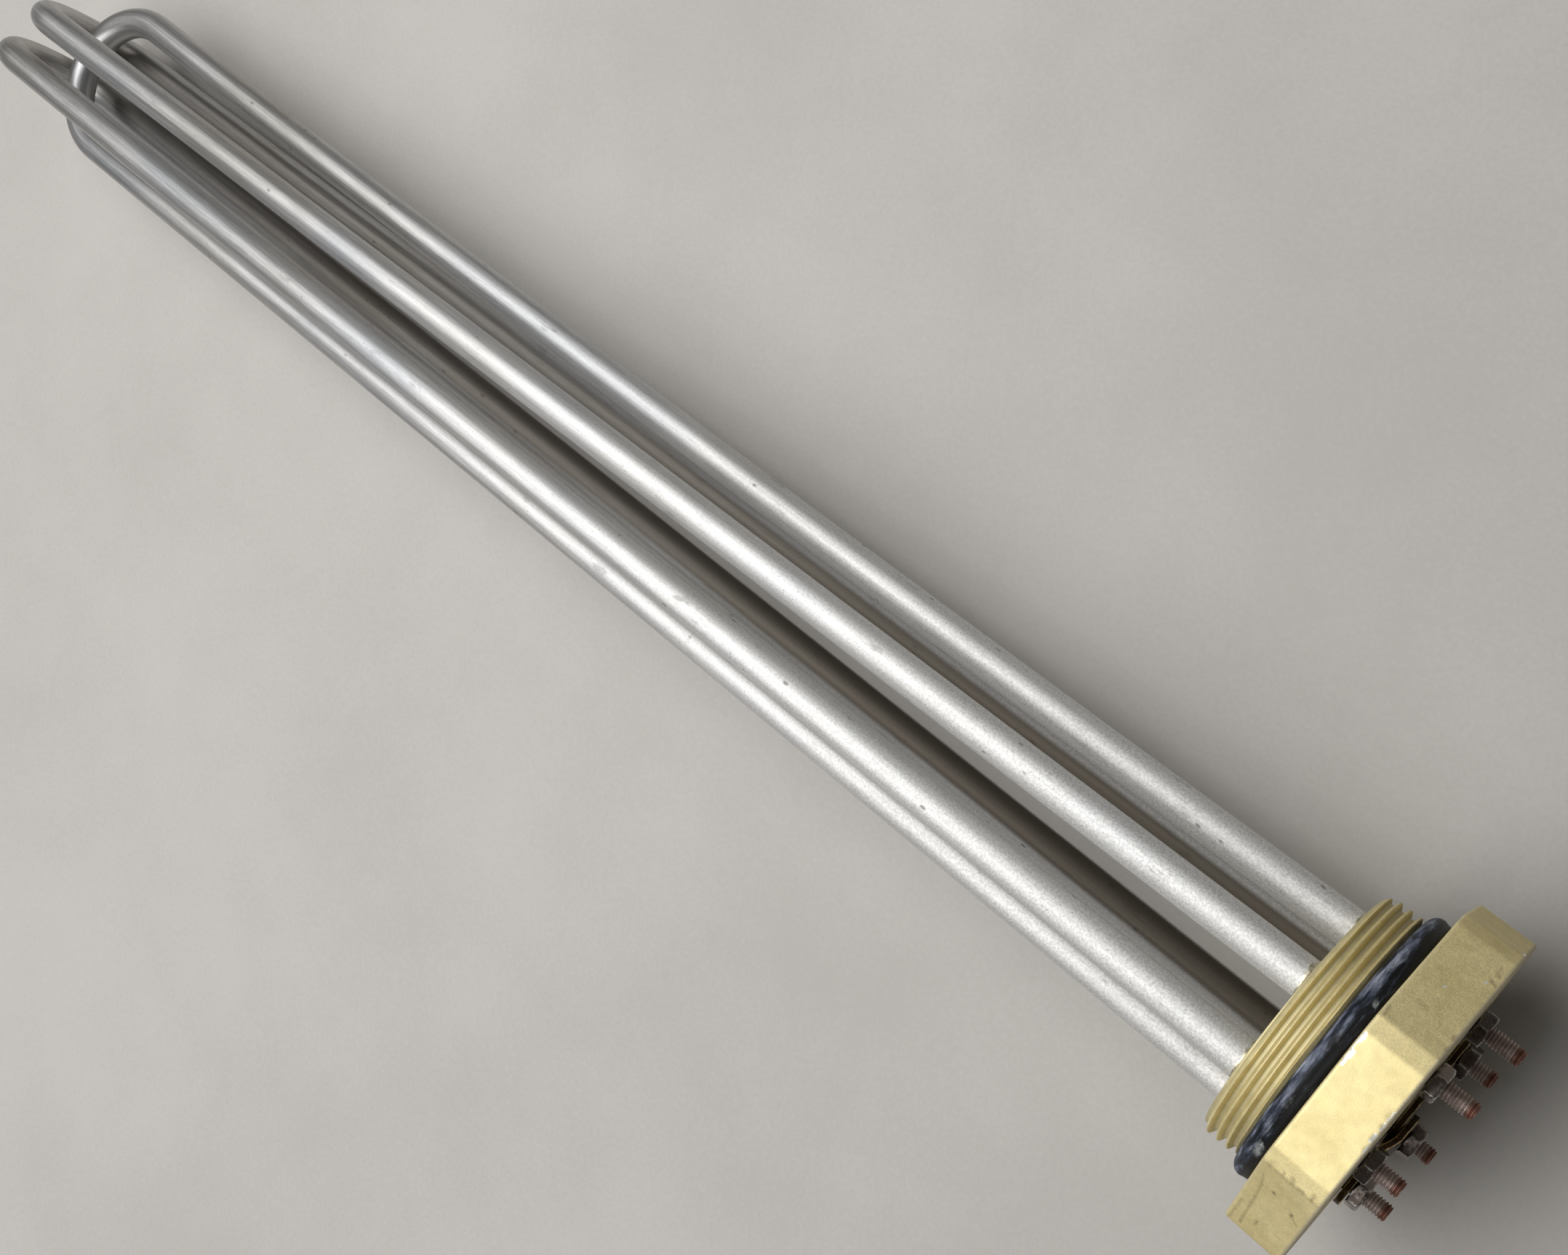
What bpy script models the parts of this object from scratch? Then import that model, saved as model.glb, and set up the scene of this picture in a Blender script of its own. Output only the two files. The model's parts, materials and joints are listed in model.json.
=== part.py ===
"""Screw plug immersion heater.

An octagonal brass plug with a G2 pipe thread carries three hairpin heating tubes.
The six tube ends form a hexagon, and the hairpins interleave: one crosses the middle,
inside the bends of the two that stand beside it. Behind the head, each tube end has an
insulating bush, a threaded pin and a nut, and two plates link three of the pins into a star.

World frame, in metres: the origin is at the centre of the plug's wetted face, where the
tubes come out, +X runs along the plug's axis towards the tube bends, and +Z is up, with a
flat of the head below. The shapes are modelled upright from the terminal face, along +Z,
and a parent empty lays them down along +X.
"""
import math

import bmesh
import bpy
from mathutils import Matrix, Vector

# clearances
FIT_GAP = 0.0003            # round a piece inside another
SEAT_GAP = 0.0002           # between stacked flat pieces

# plug
HEAD_ACROSS_FLATS = 0.075
HEAD_SIDES = 8
HEAD_THICKNESS = 0.0129
HEAD_CORNER_CUT = 0.0022    # from a sharp corner to each edge of the facet that cuts it
HEAD_EDGE_BEVEL = 0.0006
NECK_LENGTH = 0.0046
THREAD_DIAMETER = 0.05961   # G2, 11 threads to the inch
THREAD_PITCH = 0.0254 / 11
THREAD_LENGTH = 0.0091
THREAD_FIRST_CREST = 0.00045    # from the neck's end, where the helix crosses the side (+Y)
THREAD_DEPTH_SHARE = 0.64   # of the pitch, Whitworth form
NECK_UNDERCUT = 0.0018      # of the neck, below the thread's crest
THREAD_FLAT_SHARE = 0.16    # flattened crest and root, of the pitch
THREAD_BEVEL_SHARE = 0.95   # of the thread's depth, cut away at both ends
THREAD_STEPS = 48
BORE_STEPS = 16

# rubber ring in the neck
RING_HEIGHT = 0.0039        # from its bore to its outside
RING_CREASE_DEPTH = 0.0005
RING_CREASE_SHARE = 0.30    # place of the crease across the ring, from the head
RING_SHOULDER_SHARE = 0.45  # rounded part of the ring's height
RING_STEPS = 40

# heating tubes
TUBE_DIAMETER = 0.0085
TUBE_WALL = 0.0008
TUBE_CIRCLE_RADIUS = 0.0200
TUBE_COUNT = 6
BEND_STEPS = 12
BOWED_LEG_STEPS = 6
COIL_DIAMETER = 0.0034

# terminals
PIN_THREAD_DIAMETER = 0.0039
PIN_SHANK_DIAMETER = 0.0033
PIN_TIP_BEVEL = 0.0004
PIN_DEPTH = 0.045           # of its inner end, from the terminal face
PIN_HOLE = PIN_THREAD_DIAMETER + 2 * FIT_GAP
BUSH_DIAMETER = 0.0104
BUSH_FLANGE = 0.0032
BUSH_PROUD = 0.0001
BUSH_SPIGOT_LENGTH = 0.0050
NUT_ACROSS_FLATS = 0.0070
NUT_THICKNESS = 0.0028
NUT_BEVEL_ANGLE = math.radians(30)
NUT_FACE_SHARE = 0.97       # of the width across flats, left flat by the bevel
TERMINAL_STEPS = 12
LINK_WIDTH = 0.0098
LINK_THICKNESS = 0.0014
LINK_LAND = 0.0054          # flat part at each end of a link, from its hole's centre

# each hairpin: the two tube places it joins, how far its bend reaches from the terminal face,
# how far the bend has sprung aside, and how far its second leg bows towards the axis
HAIRPINS = {
    "middle": {"places": (0, 3), "reach": 0.4723, "sprung": (0.0054, -0.0007), "bow": 0.0015},
    "left": {"places": (1, 5), "reach": 0.4930, "sprung": (0.0053, -0.0003), "bow": 0.0},
    "right": {"places": (2, 4), "reach": 0.4837, "sprung": (0.0096, 0.0021), "bow": 0.0},
}

# each terminal: the height of its pin over the terminal face, the links under its nut,
# and the turn of its nut
TERMINALS = [
    {"pin_height": 0.0096, "links_below": 1, "nut_turn": 28},
    {"pin_height": 0.0084, "links_below": 0, "nut_turn": 5},
    {"pin_height": 0.0098, "links_below": 0, "nut_turn": 29},
    {"pin_height": 0.0104, "links_below": 0, "nut_turn": 14},
    {"pin_height": 0.0095, "links_below": 1, "nut_turn": 52},
    {"pin_height": 0.0096, "links_below": 2, "nut_turn": 26},
]

# worked out from the above
PLUG_FRONT = HEAD_THICKNESS + NECK_LENGTH + THREAD_LENGTH
NECK_DIAMETER = THREAD_DIAMETER - 2 * NECK_UNDERCUT
SEAT_DEPTH = BUSH_FLANGE - BUSH_PROUD               # of the bush's flange, under the face
TUBE_START = SEAT_DEPTH + SEAT_GAP
TUBE_BORE = TUBE_DIAMETER - 2 * TUBE_WALL
FILL_DIAMETER = TUBE_BORE - 2 * FIT_GAP
FILL_START = TUBE_START + BUSH_SPIGOT_LENGTH + SEAT_GAP
STACK_BOTTOM = BUSH_PROUD + SEAT_GAP                # height of the first piece on the bush
STACK_STEP = LINK_THICKNESS + SEAT_GAP


def start_scene():
    """Empty the scene and make the collections and the parent that lays the heater down."""
    for item in list(bpy.data.objects):
        bpy.data.objects.remove(item, do_unlink=True)
    parts = bpy.data.collections.new("screw_plug_immersion_heater")
    cutters = bpy.data.collections.new("cutters")
    for collection in (parts, cutters):
        bpy.context.scene.collection.children.link(collection)
    axis = bpy.data.objects.new("heater_axis", None)
    axis.rotation_euler = (math.radians(90), 0, math.radians(90))
    axis.location = (-PLUG_FRONT, 0, 0)
    parts.objects.link(axis)
    return parts, cutters, axis


def material(name, color, roughness, metallic):
    mat = bpy.data.materials.new(name)
    mat.use_nodes = True
    shader = mat.node_tree.nodes["Principled BSDF"]
    shader.inputs["Base Color"].default_value = (*color, 1)
    shader.inputs["Roughness"].default_value = roughness
    shader.inputs["Metallic"].default_value = metallic
    return mat


def add_part(name, mesh, mat, place=(0, 0, 0), turn=0.0):
    """Put a mesh in the heater as a named part, at a place and turned about the axis."""
    part = bpy.data.objects.new(name, mesh)
    part.location = place
    part.rotation_euler.z = turn
    part.parent = AXIS
    PARTS.objects.link(part)
    if not mesh.materials:
        mesh.materials.append(mat)
    mesh.shade_smooth()
    mesh.set_sharp_from_angle(angle=math.radians(35))
    return part


def add_cutter(name, mesh, place=(0, 0, 0), turn=0.0):
    cutter = bpy.data.objects.new(name, mesh)
    cutter.location = place
    cutter.rotation_euler.z = turn
    cutter.parent = AXIS
    cutter.hide_render = True
    cutter.display_type = "WIRE"
    CUTTERS.objects.link(cutter)
    return cutter


def boolean(target, operation, cutter):
    cut = target.modifiers.new(operation.lower(), "BOOLEAN")
    cut.operation = operation
    cut.solver = "EXACT"
    cut.object = cutter


def mesh_from(form):
    """Mesh from a bmesh, which is freed."""
    mesh = bpy.data.meshes.new("form")
    form.to_mesh(mesh)
    form.free()
    return mesh


def evaluated_mesh(item, weld=0.00001):
    """Mesh of an object with its modifiers, its seams welded; the object is removed."""
    bpy.context.view_layer.update()
    graph = bpy.context.evaluated_depsgraph_get()
    mesh = bpy.data.meshes.new_from_object(item.evaluated_get(graph))
    bpy.data.objects.remove(item, do_unlink=True)
    form = bmesh.new()
    form.from_mesh(mesh)
    bmesh.ops.remove_doubles(form, verts=form.verts, dist=weld)
    form.to_mesh(mesh)
    form.free()
    return mesh


def turned_mesh(profile, steps, closed=False, pitch=0.0, turns=1):
    """Revolve a profile of (radius, height) points; its outer side runs from top to bottom."""
    form = bmesh.new()
    verts = [form.verts.new((radius, 0, height)) for radius, height in profile]
    for first, second in zip(verts, verts[1:]):
        form.edges.new((first, second))
    if closed:
        form.edges.new((verts[-1], verts[0]))
    item = bpy.data.objects.new("profile", mesh_from(form))
    bpy.context.scene.collection.objects.link(item)
    screw = item.modifiers.new("revolve", "SCREW")
    screw.steps = steps
    screw.render_steps = steps
    screw.screw_offset = pitch
    screw.iterations = turns
    return evaluated_mesh(item)


def tube_mesh(points, radius, resolution, capped):
    """Round tube along a list of points."""
    curve = bpy.data.curves.new("route", "CURVE")
    curve.dimensions = "3D"
    curve.bevel_depth = radius
    curve.bevel_resolution = resolution
    curve.use_fill_caps = capped
    spline = curve.splines.new("POLY")
    spline.points.add(len(points) - 1)
    for spot, point in zip(spline.points, points):
        spot.co = (*point, 1)
    item = bpy.data.objects.new("route", curve)
    bpy.context.scene.collection.objects.link(item)
    return evaluated_mesh(item)


def prism_mesh(sides, across_flats, height):
    """Regular prism from the ground up along +Z, with a flat at each multiple of its step angle."""
    corner_radius = across_flats / 2 / math.cos(math.pi / sides)
    form = bmesh.new()
    bmesh.ops.create_cone(form, cap_ends=True, segments=sides, radius1=corner_radius,
                          radius2=corner_radius, depth=height)
    first = min(form.verts, key=lambda vert: math.atan2(vert.co.y, vert.co.x) % math.tau)
    start = math.atan2(first.co.y, first.co.x)
    spin = Matrix.Rotation(math.pi / sides - start, 3, "Z")
    bmesh.ops.rotate(form, verts=form.verts, cent=(0, 0, 0), matrix=spin)
    bmesh.ops.translate(form, verts=form.verts, vec=(0, 0, height / 2))
    return mesh_from(form)


def tube_place(number):
    """Centre of a tube end in the plane of the terminal face."""
    angle = math.tau * number / TUBE_COUNT
    return Vector((math.cos(angle), math.sin(angle), 0)) * TUBE_CIRCLE_RADIUS


def head_mesh():
    """Octagonal head with its corners cut flat."""
    mesh = prism_mesh(HEAD_SIDES, HEAD_ACROSS_FLATS, HEAD_THICKNESS)
    form = bmesh.new()
    form.from_mesh(mesh)
    uprights = [edge for edge in form.edges
                if abs(edge.verts[0].co.z - edge.verts[1].co.z) > HEAD_THICKNESS / 2]
    bmesh.ops.bevel(form, geom=uprights, offset=HEAD_CORNER_CUT, segments=1, affect="EDGES")
    form.to_mesh(mesh)
    form.free()
    return mesh


def thread_mesh():
    """Threaded length: one pitch of the thread form swept along a right-hand helix,
    cut flat at both ends."""
    start = HEAD_THICKNESS + NECK_LENGTH
    crest = THREAD_DIAMETER / 2
    root = crest - THREAD_PITCH * THREAD_DEPTH_SHARE
    flat = THREAD_PITCH * THREAD_FLAT_SHARE / 2
    middle = THREAD_PITCH / 2
    form = [(root, THREAD_PITCH), (root, THREAD_PITCH - flat), (crest, middle + flat),
            (crest, middle - flat), (root, flat), (root, 0)]
    turns = math.ceil(THREAD_LENGTH / THREAD_PITCH) + 3
    mesh = turned_mesh(form, THREAD_STEPS, pitch=THREAD_PITCH, turns=turns)
    first_crest = start + THREAD_FIRST_CREST - 2 * THREAD_PITCH
    mesh.transform(Matrix.Translation((0, 0, first_crest - middle)))
    blank = bmesh.new()
    blank.from_mesh(mesh)
    for height, side in ((start, -1), (PLUG_FRONT, 1)):
        whole = blank.verts[:] + blank.edges[:] + blank.faces[:]
        bmesh.ops.bisect_plane(blank, geom=whole, plane_co=(0, 0, height),
                               plane_no=(0, 0, side), clear_outer=True)
        rim = [edge for edge in blank.edges
               if edge.is_boundary and all(abs(vert.co.z - height) < 1e-6 for vert in edge.verts)]
        bmesh.ops.holes_fill(blank, edges=rim)
    bmesh.ops.recalc_face_normals(blank, faces=blank.faces)
    blank.to_mesh(mesh)
    blank.free()
    return mesh


def thread_envelope_mesh():
    """Turned outline that bevels both ends of the thread."""
    start = HEAD_THICKNESS + NECK_LENGTH
    depth = THREAD_PITCH * THREAD_DEPTH_SHARE
    over = depth * (1 - THREAD_BEVEL_SHARE / 2)
    inner = THREAD_DIAMETER / 2 - depth * THREAD_BEVEL_SHARE
    outer = THREAD_DIAMETER / 2 + over
    rise = outer - inner
    below = start - over
    above = PLUG_FRONT + over
    profile = [(0, above), (inner - over, above), (outer, PLUG_FRONT - rise),
               (outer, start + rise), (inner - over, below), (0, below)]
    return turned_mesh(profile, 2 * THREAD_STEPS)


def bore_cutter_mesh():
    """Bore for a tube, with a wider seat for the bush's flange."""
    seat = BUSH_DIAMETER / 2 + FIT_GAP
    bore = TUBE_DIAMETER / 2 + FIT_GAP
    over = HEAD_THICKNESS / 4
    profile = [(0, PLUG_FRONT + over), (bore, PLUG_FRONT + over), (bore, TUBE_START),
               (seat, TUBE_START), (seat, -over), (0, -over)]
    return turned_mesh(profile, BORE_STEPS)


def build_plug():
    plug = add_part("screw_plug", head_mesh(), BRASS)
    bevel = plug.modifiers.new("edges", "BEVEL")
    bevel.width = HEAD_EDGE_BEVEL
    bevel.segments = 1
    bevel.limit_method = "ANGLE"
    bevel.angle_limit = math.radians(60)
    thread = add_cutter("thread", thread_mesh())
    boolean(thread, "INTERSECT", add_cutter("thread_envelope", thread_envelope_mesh()))
    inside_head = HEAD_THICKNESS / 2
    inside_thread = PLUG_FRONT - THREAD_LENGTH / 3
    neck_profile = [(0, inside_thread), (NECK_DIAMETER / 2, inside_thread),
                    (NECK_DIAMETER / 2, inside_head), (0, inside_head)]
    neck = add_cutter("neck", turned_mesh(neck_profile, THREAD_STEPS))
    boolean(plug, "UNION", neck)
    boolean(plug, "UNION", thread)
    cutter_mesh = bore_cutter_mesh()
    for number in range(TUBE_COUNT):
        cutter = add_cutter(f"tube_bore_{number + 1}", cutter_mesh, tube_place(number))
        boolean(plug, "DIFFERENCE", cutter)


def build_ring():
    """Rubber ring that fills the neck, with a shallow crease round its outside."""
    low = HEAD_THICKNESS + FIT_GAP
    high = HEAD_THICKNESS + NECK_LENGTH - FIT_GAP
    inner = NECK_DIAMETER / 2 + FIT_GAP
    outer = inner + RING_HEIGHT
    width = high - low
    crease = low + width * RING_CREASE_SHARE
    shoulder = RING_HEIGHT * RING_SHOULDER_SHARE
    profile = [(inner, high), (outer - shoulder, high)]
    for step in range(1, 4):
        share = step / 4
        height = high + (crease - high) * share
        profile.append((outer - shoulder * (1 - math.sin(math.pi * min(share, 0.5))) ** 2, height))
    profile.append((outer - RING_CREASE_DEPTH, crease))
    profile.append((outer - RING_CREASE_DEPTH / 4, low + (crease - low) * 0.45))
    profile.append((outer - shoulder, low))
    profile.append((inner, low))
    add_part("seal_ring", turned_mesh(profile, RING_STEPS, closed=True), RUBBER)


def hairpin_points(hairpin, start):
    """Centre line of a hairpin, from a height on its first leg round to its second."""
    first, second = (tube_place(number) for number in hairpin["places"])
    middle = (first + second) / 2
    half = (first - second) / 2
    radius = half.length
    apex = hairpin["reach"] - TUBE_DIAMETER / 2
    bend_start = apex - radius
    sprung = Vector((*hairpin["sprung"], 0))

    def set_aside(point, bow=0.0):
        """Move a point with the spring of the tube and the bow of its leg."""
        run = max(0.0, (point.z - PLUG_FRONT) / (apex - PLUG_FRONT))
        along = min(1.0, max(0.0, (point.z - PLUG_FRONT) / (bend_start - PLUG_FRONT)))
        return point + sprung * run + half.normalized() * bow * 4 * along * (1 - along)

    heights = [start, PLUG_FRONT] if start < PLUG_FRONT else [start]
    steps = BOWED_LEG_STEPS if hairpin["bow"] else 1
    low = heights[-1]
    heights += [low + (bend_start - low) * step / steps for step in range(1, steps)]
    points = [set_aside(first + Vector((0, 0, height))) for height in heights]
    for step in range(BEND_STEPS + 1):
        angle = math.pi * step / BEND_STEPS
        across = half * math.cos(angle)
        points.append(set_aside(middle + across + Vector((0, 0, bend_start + radius * math.sin(angle)))))
    points += [set_aside(second + Vector((0, 0, height)), hairpin["bow"]) for height in reversed(heights)]
    return points


def hollow(part, wall):
    """Give an open tube surface its wall, inwards."""
    shell = part.modifiers.new("wall", "SOLIDIFY")
    shell.thickness = wall
    shell.offset = -1


def build_hairpin(side, hairpin):
    """Sheath, magnesia fill and resistance coil of one heating tube."""
    route = hairpin_points(hairpin, TUBE_START)
    sheath = add_part(f"sheath_{side}", tube_mesh(route, TUBE_DIAMETER / 2, 5, False), STEEL)
    hollow(sheath, TUBE_WALL)
    fill_route = hairpin_points(hairpin, FILL_START)
    fill_wall = (FILL_DIAMETER - PIN_HOLE) / 2
    fill = add_part(f"magnesia_fill_{side}", tube_mesh(fill_route, FILL_DIAMETER / 2, 2, False),
                    MAGNESIA)
    hollow(fill, fill_wall)
    coil_route = hairpin_points(hairpin, PIN_DEPTH + FIT_GAP)
    add_part(f"resistance_coil_{side}", tube_mesh(coil_route, COIL_DIAMETER / 2, 1, True), NICHROME)


def pin_mesh(height):
    """Turned pin: threaded outer end and a thinner shank inside the tube."""
    thread = PIN_THREAD_DIAMETER / 2
    shank = PIN_SHANK_DIAMETER / 2
    profile = [(0, PIN_DEPTH), (shank, PIN_DEPTH), (shank, FILL_START), (thread, FILL_START - SEAT_GAP),
               (thread, PIN_TIP_BEVEL - height), (thread - PIN_TIP_BEVEL, -height), (0, -height)]
    return turned_mesh(profile, TERMINAL_STEPS)


def bush_mesh():
    """Ceramic bush: a flange in the head's seat and a spigot in the tube's mouth."""
    hole = PIN_HOLE / 2
    flange = BUSH_DIAMETER / 2
    spigot = FILL_DIAMETER / 2
    end = TUBE_START + BUSH_SPIGOT_LENGTH
    profile = [(hole, end), (spigot, end), (spigot, SEAT_DEPTH), (flange, SEAT_DEPTH),
               (flange, -BUSH_PROUD), (hole, -BUSH_PROUD)]
    return turned_mesh(profile, TERMINAL_STEPS, closed=True)


def nut_mesh():
    """Hexagon nut with bevelled corners and a plain bore."""
    item = bpy.data.objects.new("nut", prism_mesh(6, NUT_ACROSS_FLATS, NUT_THICKNESS))
    item.parent = AXIS
    bpy.context.scene.collection.objects.link(item)
    over = NUT_THICKNESS / 4
    top = NUT_THICKNESS + over
    face = NUT_ACROSS_FLATS / 2 * NUT_FACE_SHARE
    corner = NUT_ACROSS_FLATS / 2 / math.cos(math.pi / 6) + FIT_GAP
    drop = (corner - face) * math.tan(NUT_BEVEL_ANGLE)
    end = face - over / math.tan(NUT_BEVEL_ANGLE)
    profile = [(0, top), (end, top), (corner, NUT_THICKNESS - drop), (corner, drop), (end, -over), (0, -over)]
    boolean(item, "INTERSECT", add_cutter("nut_bevels", turned_mesh(profile, TERMINAL_STEPS)))
    hole_profile = [(0, top), (PIN_HOLE / 2, top), (PIN_HOLE / 2, -over), (0, -over)]
    boolean(item, "DIFFERENCE", add_cutter("nut_hole", turned_mesh(hole_profile, TERMINAL_STEPS)))
    return evaluated_mesh(item)


def build_terminals():
    bush = bush_mesh()
    nut = nut_mesh()
    for number, terminal in enumerate(TERMINALS):
        place = tube_place(number)
        add_part(f"terminal_pin_{number + 1}", pin_mesh(terminal["pin_height"]), NICKEL, place)
        add_part(f"insulating_bush_{number + 1}", bush, CERAMIC, place)
        height = STACK_BOTTOM + terminal["links_below"] * STACK_STEP
        seat = place - Vector((0, 0, height + NUT_THICKNESS))
        add_part(f"terminal_nut_{number + 1}", nut, NICKEL, seat, math.radians(terminal["nut_turn"]))


def link_cutter_mesh(span):
    """Outline of a link with round ends, taller than the link."""
    tall = 2 * (LINK_THICKNESS + STACK_STEP)
    curve = bpy.data.curves.new("outline", "CURVE")
    curve.dimensions = "2D"
    curve.fill_mode = "BOTH"
    curve.extrude = tall
    spline = curve.splines.new("POLY")
    radius = LINK_WIDTH / 2
    ends = [(Vector((span, 0)), -90), (Vector((0, 0)), 90)]
    points = []
    for centre, start in ends:
        for step in range(9):
            angle = math.radians(start + 180 * step / 8)
            points.append(centre + radius * Vector((math.cos(angle), math.sin(angle))))
    spline.points.add(len(points) - 1)
    for spot, point in zip(spline.points, points):
        spot.co = (point.x, point.y, 0, 1)
    spline.use_cyclic_u = True
    item = bpy.data.objects.new("outline", curve)
    bpy.context.scene.collection.objects.link(item)
    return evaluated_mesh(item)


def build_link(name, first, second, lift):
    """Link plate between two terminals; its far end is raised by one plate where it laps another."""
    start = tube_place(first)
    span = tube_place(second) - start
    length = span.length
    overhang = LINK_WIDTH
    side = [(-overhang, 0), (LINK_LAND, 0), (length - LINK_LAND, -lift), (length + overhang, -lift)]
    form = bmesh.new()
    rows = []
    for edge in (-LINK_WIDTH, LINK_WIDTH):
        rows.append([form.verts.new((along, edge, height)) for along, height in side])
    for step in range(len(side) - 1):
        form.faces.new((rows[0][step], rows[0][step + 1], rows[1][step + 1], rows[1][step]))
    turn = math.atan2(span.y, span.x)
    place = start - Vector((0, 0, STACK_BOTTOM))
    link = add_part(name, mesh_from(form), LINK_BRASS, place, turn)
    plate = link.modifiers.new("plate", "SOLIDIFY")
    plate.thickness = LINK_THICKNESS
    plate.offset = -1
    plate.use_even_offset = True
    boolean(link, "INTERSECT", add_cutter(f"{name}_outline", link_cutter_mesh(length), place, turn))
    tall = 2 * (LINK_THICKNESS + STACK_STEP)
    hole_profile = [(0, tall), (PIN_HOLE / 2, tall), (PIN_HOLE / 2, -tall), (0, -tall)]
    hole_mesh = turned_mesh(hole_profile, TERMINAL_STEPS)
    for number in (first, second):
        hole = add_cutter(f"{name}_hole_{number + 1}", hole_mesh,
                          tube_place(number) - Vector((0, 0, STACK_BOTTOM)), turn)
        boolean(link, "DIFFERENCE", hole)


PARTS, CUTTERS, AXIS = start_scene()
BRASS = material("brass", (0.58, 0.50, 0.30), 0.45, 1.0)
STEEL = material("stainless_steel", (0.50, 0.49, 0.47), 0.35, 1.0)
NICKEL = material("nickel_plated_steel", (0.38, 0.35, 0.33), 0.35, 1.0)
LINK_BRASS = material("link_brass", (0.45, 0.37, 0.20), 0.35, 1.0)
NICHROME = material("nichrome", (0.32, 0.30, 0.29), 0.5, 1.0)
RUBBER = material("black_rubber", (0.03, 0.035, 0.045), 0.6, 0.0)
MAGNESIA = material("magnesia", (0.75, 0.74, 0.70), 0.9, 0.0)
CERAMIC = material("steatite", (0.70, 0.67, 0.60), 0.5, 0.0)

build_plug()
build_ring()
for side, hairpin in HAIRPINS.items():
    build_hairpin(side, hairpin)
build_terminals()
build_link("star_link_lower", 4, 5, 0.0)
build_link("star_link_upper", 0, 5, STACK_STEP)
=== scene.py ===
import json
import math

import bmesh
import bpy
from mathutils import Matrix, Vector, noise

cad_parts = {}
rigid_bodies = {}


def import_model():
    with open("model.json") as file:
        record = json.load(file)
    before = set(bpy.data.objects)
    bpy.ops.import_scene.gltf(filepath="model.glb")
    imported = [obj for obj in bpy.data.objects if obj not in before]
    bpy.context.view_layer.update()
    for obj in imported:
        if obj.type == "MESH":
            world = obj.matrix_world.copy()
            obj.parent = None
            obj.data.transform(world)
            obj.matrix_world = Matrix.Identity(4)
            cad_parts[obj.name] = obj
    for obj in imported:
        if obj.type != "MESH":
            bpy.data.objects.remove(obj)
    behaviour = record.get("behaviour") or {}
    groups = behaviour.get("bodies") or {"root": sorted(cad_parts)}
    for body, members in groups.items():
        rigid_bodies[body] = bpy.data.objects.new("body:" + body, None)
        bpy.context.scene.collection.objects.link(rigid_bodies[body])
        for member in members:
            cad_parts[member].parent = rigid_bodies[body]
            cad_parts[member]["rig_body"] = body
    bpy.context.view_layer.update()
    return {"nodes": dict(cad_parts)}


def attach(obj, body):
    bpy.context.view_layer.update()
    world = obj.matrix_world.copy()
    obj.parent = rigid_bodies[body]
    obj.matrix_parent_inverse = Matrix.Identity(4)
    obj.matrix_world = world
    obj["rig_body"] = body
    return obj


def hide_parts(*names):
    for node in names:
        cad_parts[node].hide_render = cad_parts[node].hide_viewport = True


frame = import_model()
nodes = frame["nodes"]
mm = 0.001
tau = math.tau
plugFront = 26.6        # mm from the terminal face to the wetted face, where the origin is
print("frame loaded:", len(nodes), "nodes")


# places are in mm: along the axis from the terminal face, to the side (+Y) and up (+Z)

def spot(along, side, up):
    return Vector(((along - plugFront) * mm, side * mm, up * mm))


def onRound(along, radius, angle, centre=(0, 0)):
    return spot(along, centre[0] + radius * math.cos(angle), centre[1] + radius * math.sin(angle))


def circle(along, radius, steps, centre=(0, 0), seam=0):
    # places round a circle; a seam of 1 repeats the first one at the end
    return [onRound(along, radius, tau * step / steps, centre) for step in range(steps + seam)]


def inMm(co):
    return co.x / mm + plugFront, co.y / mm, co.z / mm


def outward(co, centre=(0, 0)):
    # how far along a place is and how far from an axis
    along, side, up = inMm(co)
    return along, math.hypot(side - centre[0], up - centre[1])


def ease(value, low, high):
    share = min(1.0, max(0.0, (value - low) / (high - low)))
    return share * share * (3 - 2 * share)


def waver(co, size, seed=0.0):
    # smooth noise from -1 to 1, size in mm
    return noise.noise(co / (size * mm) + Vector((seed, seed * 1.7, -seed)))


# mesh helpers

def joinRows(form, made, wrap=True, closed=False):
    # quads between rows of vertices, when closed also from the last row to the first
    for lower, upper in zip(made, made[1:] + made[:1] if closed else made[1:]):
        count = len(lower)
        for step in range(count if wrap else count - 1):
            following = (step + 1) % count
            form.faces.new((lower[step], lower[following], upper[following], upper[step]))


def addSkin(form, rows, wrap=True, closed=False):
    # skin over rows of places; gives back the rows of vertices
    made = [[form.verts.new(place) for place in row] for row in rows]
    joinRows(form, made, wrap, closed)
    return made


def climbingRows(size, start, end, radiusAt, centre=(0, 0)):
    # rows of a thread that climb by its pitch in one turn, kept between its ends
    rows = []
    for level in range(math.ceil(((end - start) / size["pitch"] + 2) * size["rowsPerTurn"])):
        row = []
        for step in range(size["around"] + 1):
            angle = tau * step / size["around"]
            along = start + size["pitch"] * (level / size["rowsPerTurn"] + angle / tau - 1)
            along = min(end, max(start, along))
            row.append(onRound(along, radiusAt(along, angle), angle, centre))
        rows.append(row)
    return rows


def fillBetween(form, loops):
    edges = []
    for loop in loops:
        for first, second in zip(loop, loop[1:] + loop[:1]):
            edges.append(form.edges.get((first, second)) or form.edges.new((first, second)))
    bmesh.ops.triangle_fill(form, use_beauty=True, edges=edges)


def regularCorners(sides, acrossFlats, turn=0.0, cut=0.0):
    # corners of a polygon with a flat facing the turn angle; a cut gives each corner a facet
    corners = []
    apothem = acrossFlats / 2
    half = apothem * math.tan(math.pi / sides) - cut
    for side in range(sides):
        facing = turn + tau * side / sides
        out = Vector((math.cos(facing), math.sin(facing)))
        along = Vector((-out.y, out.x))
        if cut:
            corners.append(out * apothem - along * half)
        corners.append(out * apothem + along * half)
    return corners


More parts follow.
